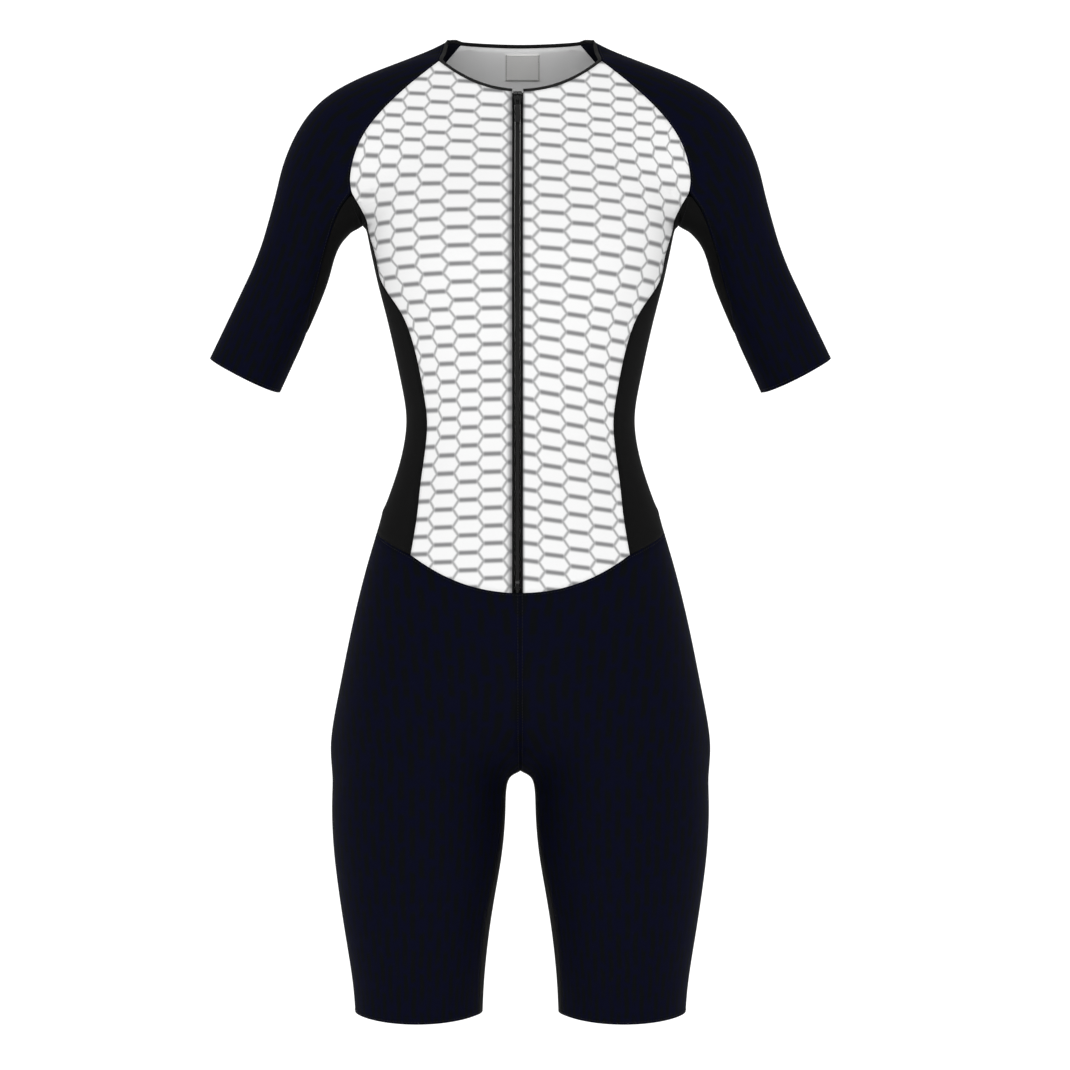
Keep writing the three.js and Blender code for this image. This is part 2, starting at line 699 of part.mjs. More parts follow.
function closedShell([outer, inner], rowCount, columns) {
  const layerSize = rowCount * columns;
  const positions = [...outer.flat(), ...inner.flat()].flatMap((p) => [p.x, p.y, p.z]);
  const at = (layer, r, c) => layer * layerSize + r * columns + c;
  const faces = [];
  const corner = (i) => new THREE.Vector3().fromArray(positions, i * 3);
  // The shorter diagonal, so that the two walls of a seam are split alike.
  const quad = (a, b, c, d) => {
    if (corner(a).distanceTo(corner(c)) <= corner(b).distanceTo(corner(d))) {
      faces.push(a, b, c, a, c, d);
    } else {
      faces.push(a, b, d, b, c, d);
    }
  };
  for (let r = 0; r < rowCount - 1; r += 1) {
    for (let c = 0; c < columns - 1; c += 1) {
      quad(at(0, r, c), at(0, r + 1, c), at(0, r + 1, c + 1), at(0, r, c + 1));
      quad(at(1, r, c), at(1, r, c + 1), at(1, r + 1, c + 1), at(1, r + 1, c));
    }
  }
  const edge = [];
  for (let c = 0; c < columns - 1; c += 1) {
    edge.push([0, c]);
  }
  for (let r = 0; r < rowCount - 1; r += 1) {
    edge.push([r, columns - 1]);
  }
  for (let c = columns - 1; c > 0; c -= 1) {
    edge.push([rowCount - 1, c]);
  }
  for (let r = rowCount - 1; r > 0; r -= 1) {
    edge.push([r, 0]);
  }
  edge.forEach(([r, c], index) => {
    const [nextR, nextC] = edge[(index + 1) % edge.length];
    quad(at(0, r, c), at(0, nextR, nextC), at(1, nextR, nextC), at(1, r, c));
  });
  const geometry = new THREE.BufferGeometry();
  geometry.setAttribute('position', new THREE.Float32BufferAttribute(positions, 3));
  geometry.setIndex(faces);
  return facingOut(geometry);
}

// Turns a closed mesh inside out where its volume comes out negative.

function facingOut(geometry) {
  const p = geometry.getAttribute('position');
  const index = geometry.getIndex().array;
  const corner = (i) => new THREE.Vector3().fromBufferAttribute(p, index[i]);
  let volume = 0;
  for (let i = 0; i < index.length; i += 3) {
    volume += corner(i).dot(corner(i + 1).cross(corner(i + 2)));
  }
  if (volume < 0) {
    for (let i = 0; i < index.length; i += 3) {
      [index[i + 1], index[i + 2]] = [index[i + 2], index[i + 1]];
    }
  }
  geometry.computeVertexNormals();
  return geometry;
}

function mirrored(geometry) {
  const copy = geometry.clone();
  copy.scale(-1, 1, 1);
  return facingOut(copy);
}

const suit = new THREE.Group();

function add(name, geometry, finish) {
  const mesh = new THREE.Mesh(geometry, new THREE.MeshStandardMaterial(finish));
  mesh.name = name;
  suit.add(mesh);
  return mesh;
}

function addPair(name, geometry, finish) {
  add(`${name}_left`, geometry, finish);
  add(`${name}_right`, mirrored(geometry), finish);
}

// Both halves of a panel that crosses the centre line, as one row each.

function acrossCentre(rows) {
  const mirror = (p) => new THREE.Vector3(-p.x, p.y, p.z);
  return rows.map((row) => [...row.slice(1).reverse().map(mirror), ...row]);
}

function addBody() {
  const leftFront = bodyRows(ZIP_WINDOW_HALF_WIDTH + ZIP_CENTRE_X, FRONTWARD);
  const rightFront = bodyRows(ZIP_WINDOW_HALF_WIDTH - ZIP_CENTRE_X, FRONTWARD);
  add('front_left', wallGeometry(leftFront), WHITE_KNIT);
  add('front_right', mirrored(wallGeometry(rightFront)), WHITE_KNIT);
  add('back', wallGeometry(acrossCentre(backRows)), WHITE_KNIT);
}

function addSleeves() {
  addPair('sleeve', wallGeometry([...raglanRows, ...gussetRows, ...cuffRows]), NAVY_KNIT);
  addPair('side', wallGeometry(sideStrip), BLACK_KNIT);
}

function addShorts() {
  addPair('shorts', wallGeometry([...hipRows, ...legRows]), NAVY_KNIT);
  addPair('inner_leg', wallGeometry(innerLegRows()), BLACK_KNIT);
}

// The binding: a band along the neck edges of fronts, sleeves and back, open at the zip.

function neckEdge() {
  const half = (edgeX) => [
    ...bodyRows(edgeX, FRONTWARD)[0],
    ...raglanRows[0].slice(1, -1),
    ...[...backRows[0]].reverse(),
  ];
  const mirror = (p) => new THREE.Vector3(-p.x, p.y, p.z);
  const left = half(ZIP_WINDOW_HALF_WIDTH + ZIP_CENTRE_X);
  const right = half(ZIP_WINDOW_HALF_WIDTH - ZIP_CENTRE_X).map(mirror);
  return [...left, ...right.reverse().slice(1)];
}

function bindingGeometry() {
  const edge = neckEdge();
  const proud = (BINDING_THICKNESS - CLOTH_THICKNESS) / 2;
  const lines = edge.map((p, i) => {
    const along = edge[Math.min(i + 1, edge.length - 1)].clone()
      .sub(edge[Math.max(i - 1, 0)]).normalize();
    const normal = outwardNormal(p);
    const up = normal.clone().cross(along).normalize();
    const at = (rise, height) => p.clone().addScaledVector(up, rise)
      .addScaledVector(normal, height);
    const low = SEAM_GAP / 2;
    const high = low + BINDING_WIDTH;
    return {
      outer: [at(low, proud), at(high, proud)],
      inner: [at(low, proud - BINDING_THICKNESS), at(high, proud - BINDING_THICKNESS)],
    };
  });
  const layers = [lines.map((line) => line.outer), lines.map((line) => line.inner)];
  return closedShell(layers, edge.length, 2);
}

// A frame on the cloth at a distance down the zip: along the zip, across and outwards.

const zipLine = bodyRows(ZIP_CENTRE_X, FRONTWARD).map((row) => row[0]);

function zipPlace(distance) {
  let left = distance;
  let index = 0;
  while (index < zipLine.length - 2 && left > zipLine[index].distanceTo(zipLine[index + 1])) {
    left -= zipLine[index].distanceTo(zipLine[index + 1]);
    index += 1;
  }
  const down = zipLine[index + 1].clone().sub(zipLine[index]).normalize();
  const across = new THREE.Vector3(1, 0, 0);
  const out = down.clone().cross(across).normalize();
  const origin = zipLine[index].clone().addScaledVector(down, left);
  return { origin, across, down, out: out.y < 0 ? out : out.negate() };
}

const zipLength = zipLine.slice(1).reduce((sum, p, i) => sum + p.distanceTo(zipLine[i]), 0);

function tapeGeometry(side) {
  const places = [TAPE_INNER_EDGE, TAPE_OUTER_EDGE].map((x) => ZIP_CENTRE_X + side * x);
  const rows = zipLine.map((p) => places.map((x) => surfaceAt(x, dropOf(p.z), FRONTWARD)));
  return wallGeometry(rows, -CLOTH_THICKNESS - METAL_GAP, TAPE_THICKNESS);
}

function coilGeometry() {
  const rows = zipLine.map((p) => [-COIL_HALF_WIDTH, COIL_HALF_WIDTH].map((x) => (
    surfaceAt(ZIP_CENTRE_X + x, dropOf(p.z), FRONTWARD)
  )));
  return wallGeometry(rows, 0, COIL_THICKNESS);
}

// A flat outline, given as across and down, turned onto the zip and extruded outwards.

function zipPlate(place, outline, hole, height, thickness) {
  const shape = new THREE.Shape(outline.map(([x, y]) => new THREE.Vector2(x, y)));
  if (hole) {
    shape.holes.push(new THREE.Path(hole.map(([x, y]) => new THREE.Vector2(x, y))));
  }
  const geometry = new THREE.ExtrudeGeometry(shape, { depth: thickness, bevelEnabled: false });
  const turn = new THREE.Matrix4().makeBasis(place.across, place.down, place.out);
  turn.setPosition(place.origin.clone().addScaledVector(place.out, height));
  geometry.applyMatrix4(turn);
  return facingOut(joined(geometry));
}

function joined(geometry) {
  const bare = geometry.clone();
  bare.deleteAttribute('normal');
  bare.deleteAttribute('uv');
  bare.clearGroups();
  return mergeVertices(bare, 1e-4);
}

function roundedOutline(halfWidth, footHalfWidth, top, bottom, corner) {
  return [
    [-halfWidth + corner, top],
    [halfWidth - corner, top],
    [halfWidth, top + corner],
    [halfWidth, top + 2 * corner],
    [footHalfWidth, bottom - corner],
    [footHalfWidth - corner, bottom],
    [-footHalfWidth + corner, bottom],
    [-footHalfWidth, bottom - corner],
    [-halfWidth, top + 2 * corner],
    [-halfWidth, top + corner],
  ];
}

function addSlider() {
  const place = zipPlace(SLIDER_START + SLIDER_LENGTH / 2);
  const half = SLIDER_LENGTH / 2;
  const plate = roundedOutline(
    SLIDER_HALF_WIDTH, SLIDER_FOOT_HALF_WIDTH, -half, half, SLIDER_CORNER,
  );
  add('zip_slider', zipPlate(place, plate, null, METAL_GAP, SLIDER_PLATE), BLACK_METAL);

  const bridgeFloor = METAL_GAP + SLIDER_PLATE + METAL_GAP;
  const start = BRIDGE_START - SLIDER_START - half;
  const bridge = bridgeGeometry(place, start, bridgeFloor);
  add('zip_slider_bridge', bridge, BLACK_METAL);

  const eyeHeight = bridgeFloor + TAB_RAISE;
  const pinTop = start + BRIDGE_LENGTH / 2 - TAB_PIN_LENGTH / 2;
  const tab = tabGeometry(place, pinTop, eyeHeight);
  add('zip_pull_tab', tab, BLACK_METAL);
}

// The bridge is an arch, drawn in the plane of the zip's length and its outward side.

function bridgeGeometry(place, start, floor) {
  const end = start + BRIDGE_LENGTH;
  const top = floor + BRIDGE_HEIGHT;
  const outline = [
    [start, floor], [start, top - BRIDGE_CORNER], [start + BRIDGE_CORNER, top],
    [end - BRIDGE_CORNER, top], [end, top - BRIDGE_CORNER], [end, floor],
    [end - BRIDGE_WALL, floor], [end - BRIDGE_WALL, top - BRIDGE_WALL],
    [start + BRIDGE_WALL, top - BRIDGE_WALL], [start + BRIDGE_WALL, floor],
  ];
  const shape = new THREE.Shape(outline.map(([x, y]) => new THREE.Vector2(x, y)));
  const geometry = new THREE.ExtrudeGeometry(shape, { depth: BRIDGE_WIDTH, bevelEnabled: false });
  geometry.translate(0, 0, -BRIDGE_WIDTH / 2);
  const turn = new THREE.Matrix4().makeBasis(place.down, place.out, place.across);
  turn.setPosition(place.origin);
  geometry.applyMatrix4(turn);
  return facingOut(joined(geometry));
}

function tabGeometry(place, pinTop, height) {
  const outline = roundedOutline(
    TAB_HALF_WIDTH, TAB_HALF_WIDTH, pinTop, pinTop + TAB_LENGTH, TAB_CORNER,
  );
  const eyeTop = pinTop + TAB_PIN_LENGTH;
  const eyeBottom = eyeTop + TAB_EYE_LENGTH;
  const eye = [
    [-TAB_EYE_HALF_WIDTH, eyeTop], [-TAB_EYE_HALF_WIDTH, eyeBottom],
    [TAB_EYE_HALF_WIDTH, eyeBottom], [TAB_EYE_HALF_WIDTH, eyeTop],
  ];
  return zipPlate(place, outline, eye, height, TAB_THICKNESS);
}

function addZip() {
  add('zip_tape_left', tapeGeometry(1), BLACK_TAPE);
  add('zip_tape_right', tapeGeometry(-1), BLACK_TAPE);
  add('zip_coil', coilGeometry(), BLACK_NYLON);
  addSlider();
  const stop = (name, distance, offset) => {
    const place = zipPlace(distance);
    place.origin.addScaledVector(place.across, offset);
    const half = STOP_LENGTH / 2;
    const outline = roundedOutline(STOP_HALF_WIDTH, STOP_HALF_WIDTH, -half, half, STOP_CORNER);
    add(name, zipPlate(place, outline, null, METAL_GAP, STOP_THICKNESS), STOP_METAL);
  };
  stop('zip_top_stop_left', TOP_STOP_START + STOP_LENGTH / 2, STOP_HALF_WIDTH + METAL_GAP / 2);
  stop('zip_top_stop_right', TOP_STOP_START + STOP_LENGTH / 2, -STOP_HALF_WIDTH - METAL_GAP / 2);
  stop('zip_bottom_stop', zipLength - BOTTOM_STOP_RISE, 0);
}

// The point of a panel's own facets at x and drop, so that what lies on it fits it.

function onFacets(rows, x, drop) {
  const z = heightOf(drop);
  const target = new THREE.Vector3(x, 0, z);
  const flat = (p) => new THREE.Vector3(p.x, 0, p.z);
  for (let r = 0; r < rows.length - 1; r += 1) {
    for (let c = 0; c < rows[r].length - 1; c += 1) {
      const [a, b] = [rows[r][c], rows[r][c + 1]];
      const [d, e] = [rows[r + 1][c], rows[r + 1][c + 1]];
      for (const corners of [[a, d, e], [a, e, b]]) {
        const triangle = new THREE.Triangle(...corners.map(flat));
        if (triangle.containsPoint(target)) {
          const share = triangle.getBarycoord(target, new THREE.Vector3());
          return corners[0].clone().multiplyScalar(share.x)
            .addScaledVector(corners[1], share.y)
            .addScaledVector(corners[2], share.z);
        }
      }
    }
  }
  return surfaceAt(x, drop, BACKWARD);
}

function addTrim() {
  add('neck_binding', bindingGeometry(), BLACK_TAPE);
  const backPanel = acrossCentre(backRows);
  const rows = [];
  for (let r = 0; r <= LABEL_SPACES; r += 1) {
    const drop = THREE.MathUtils.lerp(LABEL.top, LABEL.bottom, r / LABEL_SPACES);
    const row = [];
    for (let c = 0; c <= LABEL_SPACES; c += 1) {
      const x = THREE.MathUtils.lerp(LABEL.left, LABEL.right, c / LABEL_SPACES);
      row.push(onFacets(backPanel, x, drop));
    }
    rows.push(row);
  }
  const label = wallGeometry(rows, -CLOTH_THICKNESS - SEAM_GAP, LABEL.thickness, 0);
  add('neck_label', label, LABEL_CLOTH);
}

addBody();
addSleeves();
addShorts();
addTrim();
addZip();

export default suit;
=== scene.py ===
"""Looks of a triathlon suit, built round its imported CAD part.

The suit is a hollow one-piece in its worn shape: white honeycomb fronts and back, navy
raglan sleeves and shorts, black sides, and a black zip. Metres, +Z up, front to -Y, and
+X is the wearer's left. Small sizes are written in millimetres and scaled by MM.
"""

from __future__ import annotations

import json
import logging
import math
from bisect import bisect_right
from collections.abc import Callable, Iterable, Sequence
from dataclasses import dataclass, field, replace
from enum import Enum
from typing import NamedTuple

import bmesh
import bpy
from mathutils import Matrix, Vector
from mathutils.bvhtree import BVHTree

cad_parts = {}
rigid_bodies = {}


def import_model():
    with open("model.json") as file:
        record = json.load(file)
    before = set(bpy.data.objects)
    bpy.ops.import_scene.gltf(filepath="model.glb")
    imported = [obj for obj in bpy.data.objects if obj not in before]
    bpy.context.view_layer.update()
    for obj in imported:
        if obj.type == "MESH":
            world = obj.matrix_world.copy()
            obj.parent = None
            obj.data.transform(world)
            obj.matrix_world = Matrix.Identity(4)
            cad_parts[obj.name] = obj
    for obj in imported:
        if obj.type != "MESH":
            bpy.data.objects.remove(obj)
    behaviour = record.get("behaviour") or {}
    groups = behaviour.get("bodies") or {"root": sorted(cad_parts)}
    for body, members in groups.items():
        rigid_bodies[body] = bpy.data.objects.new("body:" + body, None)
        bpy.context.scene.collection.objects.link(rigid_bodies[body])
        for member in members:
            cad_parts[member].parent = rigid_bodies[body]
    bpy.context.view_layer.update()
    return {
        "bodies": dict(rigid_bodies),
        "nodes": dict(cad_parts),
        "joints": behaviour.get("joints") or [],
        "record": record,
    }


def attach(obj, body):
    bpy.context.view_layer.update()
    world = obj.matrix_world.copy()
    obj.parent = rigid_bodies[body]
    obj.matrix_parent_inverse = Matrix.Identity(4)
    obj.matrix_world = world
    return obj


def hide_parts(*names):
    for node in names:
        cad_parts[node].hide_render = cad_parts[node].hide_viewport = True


LOG = logging.getLogger("triathlon_suit")

MM = 0.001
SHOULDER_HEIGHT = 10 * MM
ZIP_X = -2.5 * MM
SUIT_BODY = "suit"
TAB_BODY = "pull_tab"
PRINT_MAP = "print_map"


class Face(Enum):
    """Where a face of a cloth wall looks, kept as its material index."""

    OUTSIDE = 0
    INSIDE = 1
    EDGE = 2


class Side(Enum):
    """A side of the suit, with the sign of its X."""

    LEFT = 1
    RIGHT = -1


def drop_of(z: float) -> float:
    """Turns a height into a drop below the shoulder point.

    Args:
        z: Height in metres.

    Returns:
        The drop in millimetres.
    """
    return (SHOULDER_HEIGHT - z) / MM


def read_table(rows: Sequence[NamedTuple], key: float, column: str) -> float:
    """Reads a column of a table at a key, with straight lines between its rows.

    Args:
        rows: Rows whose first column is the rising key.
        key: Where to read.
        column: The column's name.

    Returns:
        The value. Beyond the ends the last slope goes on.
    """
    keys = [row[0] for row in rows]
    index = min(max(bisect_right(keys, key) - 1, 0), len(rows) - 2)
    start, end = rows[index], rows[index + 1]
    share = (key - start[0]) / (end[0] - start[0])
    return getattr(start, column) * (1 - share) + getattr(end, column) * share


def add_object(name: str, data: bpy.types.ID) -> bpy.types.Object:
    """Adds an object to the scene.

    Args:
        name: Its name.
        data: Its mesh, camera or light.

    Returns:
        The object.
    """
    obj = bpy.data.objects.new(name, data)
    bpy.context.scene.collection.objects.link(obj)
    return obj


def add_mesh(
    name: str, shape: bmesh.types.BMesh, look: Cloth | Hard | Studio
) -> bpy.types.Object:
    """Adds a mesh object in one finish.

    Args:
        name: Its name.
        shape: Its shape, which is freed.
        look: Its finish.

    Returns:
        The object.
    """
    data = bpy.data.meshes.new(name)
    data.materials.append(look.material())
    shape.to_mesh(data)
    shape.free()
    LOG.info("%s: %d faces", name, len(data.polygons))
    return add_object(name, data)


# Shader building.


NOISE_DETAIL = 2.0


@dataclass
class Graph:
    """A node tree with short ways to add and join nodes."""

    tree: bpy.types.NodeTree

    def node(self, kind: str, **settings: object) -> bpy.types.Node:
        """Adds a node.

        Args:
            kind: The node's type name.
            **settings: Its properties.

        Returns:
            The node.
        """
        made = self.tree.nodes.new(kind)
        for name, value in settings.items():
            setattr(made, name, value)
        return made

    def feed(self, socket: bpy.types.NodeSocket, value: object) -> None:
        """Sets a socket to a value, or joins another node's output to it.

        Args:
            socket: The input socket.
            value: A value or an output socket.
        """
        if isinstance(value, bpy.types.NodeSocket):
            self.tree.links.new(value, socket)
        else:
            socket.default_value = value

    def math(self, operation: str, *values: object) -> bpy.types.NodeSocket:
        """Adds a math node.

        Args:
            operation: Its operation.
            *values: Its inputs.

        Returns:
            The output socket.
        """
        made = self.node("ShaderNodeMath", operation=operation)
        for socket, value in zip(made.inputs, values):
            self.feed(socket, value)
        return made.outputs[0]

    def ease(self, value: object, start: float, end: float) -> bpy.types.NodeSocket:
        """Turns a value into a soft step from 0 at start to 1 at end.

        Args:
            value: The value.
            start: Where the step begins.
            end: Where it ends.

        Returns:
            The output socket.
        """
        made = self.node("ShaderNodeMapRange", interpolation_type="SMOOTHSTEP")
        self.feed(made.inputs["Value"], value)
        made.inputs["From Min"].default_value = start
        made.inputs["From Max"].default_value = end
        return made.outputs["Result"]

    def fade(self, value: object, start: float, end: float) -> bpy.types.NodeSocket:
        """Turns a value into a soft step from 1 at start to 0 at end.

        Args:
            value: The value.
            start: Where the step begins.
            end: Where it ends.

        Returns:
            The output socket.
        """
        return self.math("SUBTRACT", 1.0, self.ease(value, start, end))

    def gap(self, value: object, other: object) -> bpy.types.NodeSocket:
        """Measures how far two values are apart.

        Args:
            value: A value.
            other: A value.

        Returns:
            The output socket.
        """
        return self.math("ABSOLUTE", self.math("SUBTRACT", value, other))

    def split(self, vector: bpy.types.NodeSocket) -> tuple[bpy.types.NodeSocket, ...]:
        """Splits a vector.

        Args:
            vector: The vector socket.

        Returns:
            Its three parts.
        """
        made = self.node("ShaderNodeSeparateXYZ")
        self.feed(made.inputs[0], vector)
        return tuple(made.outputs)

    def blend(self, share: object, first: object, second: object) -> bpy.types.NodeSocket:
        """Mixes two colours.

        Args:
            share: How much of the second.
            first: A colour or socket.
            second: A colour or socket.

        Returns:
            The colour socket.
        """
        made = self.node("ShaderNodeMix", data_type="RGBA")
        self.feed(made.inputs["Factor"], share)
        self.feed(made.inputs["A"], first)
        self.feed(made.inputs["B"], second)
        return made.outputs["Result"]

    def noise(self, vector: object, scale: float) -> bpy.types.NodeSocket:
        """Adds a noise texture.

        Args:
            vector: Where it is read.
            scale: Its scale.

        Returns:
            The value socket.
        """
        made = self.node("ShaderNodeTexNoise")
        self.feed(made.inputs["Vector"], vector)
        made.inputs["Scale"].default_value = scale
        made.inputs["Detail"].default_value = NOISE_DETAIL
        return made.outputs[0]

    def group(self, tree: bpy.types.NodeTree, **values: object) -> bpy.types.Node:
        """Adds a node group.

        Args:
            tree: The group.
            **values: Its inputs by name.

        Returns:
            The group node.
        """
        made = self.node("ShaderNodeGroup")
        made.node_tree = tree
        for name, value in values.items():
            self.feed(made.inputs[name], value)
        return made


def new_material(name: str) -> tuple[bpy.types.Material, Graph, bpy.types.Node]:
    """Starts a material.

    Args:
        name: Its name.

    Returns:
        The material, its graph and its shader node.
    """
    made = bpy.data.materials.new(name)
    made.use_nodes = True
    return made, Graph(made.node_tree), made.node_tree.nodes["Principled BSDF"]


def shader_group(
    name: str,
    inputs: dict[str, str],
    outputs: dict[str, str],
    fill: Callable[[Graph, bpy.types.Node], dict[str, bpy.types.NodeSocket]],
) -> bpy.types.NodeTree:
    """Makes a shader node group once and finds it again later.

    Args:
        name: The group's name.
        inputs: Socket types by name.
        outputs: Socket types by name.
        fill: Builds the inside from the graph and its input node, and returns the
            sockets of the outputs.

    Returns:
        The group.
    """
    found = bpy.data.node_groups.get(name)
    if found:
        return found
    tree = bpy.data.node_groups.new(name, "ShaderNodeTree")
    for label, kind in inputs.items():
        tree.interface.new_socket(label, in_out="INPUT", socket_type=kind)
    for label, kind in outputs.items():
        tree.interface.new_socket(label, in_out="OUTPUT", socket_type=kind)
    graph = Graph(tree)
    results = fill(graph, graph.node("NodeGroupInput"))
    end = graph.node("NodeGroupOutput")
    for label, socket in results.items():
        graph.feed(end.inputs[label], socket)
    return tree


VECTOR = "NodeSocketVector"
FLOAT = "NodeSocketFloat"


@dataclass(frozen=True)
class HoneycombPrint:
    """Soft grey lines of wide six-sided cells, over print coordinates in cells."""

    edge_half: float = 0.385  # half of a cell's level edge, in column spaces
    level_reach: tuple[float, float] = (0.03, 0.235)  # from full ink to none, in rows
    level_end: tuple[float, float] = (0.3, 0.52)  # the same along an edge, in columns
    slant_reach: tuple[float, float] = (0.0, 0.54)  # the same beside a slanted edge
    level_ink: float = 0.84
    slant_ink: float = 0.66
    melt: float = 0.3  # how softly the two kinds of edge run together

    def tree(self) -> bpy.types.NodeTree:
        """Builds the group.

        Returns:
            A group from Place to Ink.
        """
        return shader_group(
            "honeycomb_print", {"Place": VECTOR}, {"Ink": FLOAT}, self._fill
        )

    def _fill(
        self, g: Graph, start: bpy.types.Node
    ) -> dict[str, bpy.types.NodeSocket]:
        across, down, _ = g.split(start.outputs["Place"])
        column = g.math("ROUND", across)
        beside = g.gap(across, column)
        odd = g.math("FLOORED_MODULO", column, 2.0)
        shifted = g.math("MULTIPLY_ADD", odd, 0.5, down)
        over = g.gap(shifted, g.math("ROUND", shifted))
        edge_gap = g.math("SUBTRACT", 0.5, over)
        level = g.fade(edge_gap, *self.level_reach)
        level = g.math("MULTIPLY", level, g.fade(beside, *self.level_end))
        run = g.math(
            "DIVIDE", g.math("SUBTRACT", beside, self.edge_half), 1 - 2 * self.edge_half
        )
        off = g.math("ABSOLUTE", g.math("MULTIPLY_ADD", edge_gap, -2.0, run))
        slant = g.fade(off, *self.slant_reach)
        ink = g.math(
            "SMOOTH_MAX",
            g.math("MULTIPLY", level, self.level_ink),
            g.math("MULTIPLY", slant, self.slant_ink),
            self.melt,
        )
        return {"Ink": g.math("MINIMUM", g.math("MAXIMUM", ink, 0.0), 1.0)}


@dataclass(frozen=True)
class DashPrint:
    """Short soft dashes along the cloth, staggered, over print coordinates in metres."""

    column: float = 9.4 * MM
    pitch: float = 39 * MM
    width: tuple[float, float] = (0.16, 0.42)  # full ink to none, in column spaces
    length: tuple[float, float] = (0.28, 0.48)  # full ink to none, in pitches
    wander: float = 0.28  # how far a column strays to each side, in column spaces
    stray: float = 0.9  # how far a dash strays along its column, in pitches
    drift_scale: float = 45.0
    patch_scale: float = 30.0
    patch_reach: tuple[float, float] = (0.18, 0.5)  # noise from no ink to full ink

    def tree(self) -> bpy.types.NodeTree:
        """Builds the group.

        Returns:
            A group from Place to Ink.
        """
        return shader_group("dash_print", {"Place": VECTOR}, {"Ink": FLOAT}, self._fill)

    def _fill(
        self, g: Graph, start: bpy.types.Node
    ) -> dict[str, bpy.types.NodeSocket]:
        around, along, _ = g.split(start.outputs["Place"])
        drift = g.noise(start.outputs["Place"], self.drift_scale)
        across = g.math(
            "MULTIPLY_ADD",
            g.math("SUBTRACT", drift, 0.5),
            self.wander * 2,
            g.math("DIVIDE", around, self.column),
        )
        column = g.math("ROUND", across)
        odd = g.math("FLOORED_MODULO", column, 2.0)
        run = g.math("MULTIPLY_ADD", odd, 0.5, g.math("DIVIDE", along, self.pitch))
        run = g.math("MULTIPLY_ADD", drift, self.stray, run)
        narrow = g.fade(g.gap(across, column), *self.width)
        short = g.fade(g.gap(run, g.math("ROUND", run)), *self.length)
        patch = g.noise(start.outputs["Place"], self.patch_scale)
        patch = g.ease(patch, *self.patch_reach)
        return {"Ink": g.math("MULTIPLY", g.math("MULTIPLY", narrow, short), patch)}


@dataclass(frozen=True)
class KnitRelief:
    """Fine ribs of a stretch knit, as a height."""

    rib: float = 0.9 * MM
    rib_height: float = 0.25  # beside the grain's height of 1
    grain_scale: float = 900.0

    def tree(self) -> bpy.types.NodeTree:
        """Builds the group.

        Returns:
            A group from Place in metres to Height.
        """
        return shader_group("knit_relief", {"Place": VECTOR}, {"Height": FLOAT}, self._fill)

    def _fill(
        self, g: Graph, start: bpy.types.Node
    ) -> dict[str, bpy.types.NodeSocket]:
        x, y, z = g.split(start.outputs["Place"])
        around = g.math("ADD", x, y)
        turn = 2 * math.pi / self.rib
        ribs = g.math("SINE", g.math("MULTIPLY", around, turn))
        loops = g.math("SINE", g.math("MULTIPLY", z, turn))
        grain = g.noise(start.outputs["Place"], self.grain_scale)
        knit = g.math("MULTIPLY", ribs, loops)
        return {"Height": g.math("MULTIPLY_ADD", knit, self.rib_height, grain)}


class Print(Enum):
    """The prints of the cloths."""

    NONE = "none"
    HONEYCOMB = "honeycomb"
    DASHES = "dashes"


PAINTED_ZIP_SHADE = 0.85  # how far the painted shade beside the zip darkens the cloth towards the ink colour
# Where the painted shade beside the zip fades out, on the wearer's left and right.
PAINTED_ZIP_SHADE_LEFT = (4.5 * MM, 8.0 * MM)
PAINTED_ZIP_SHADE_RIGHT = (5.0 * MM, 12.0 * MM)
RELIEF_DEPTH = 0.2 * MM
SHADE_SCALE = 25.0
SHADE_REACH = (0.2, 0.8)
SHADE_GAIN = 1.04  # how much paler a plain cloth gets in patches


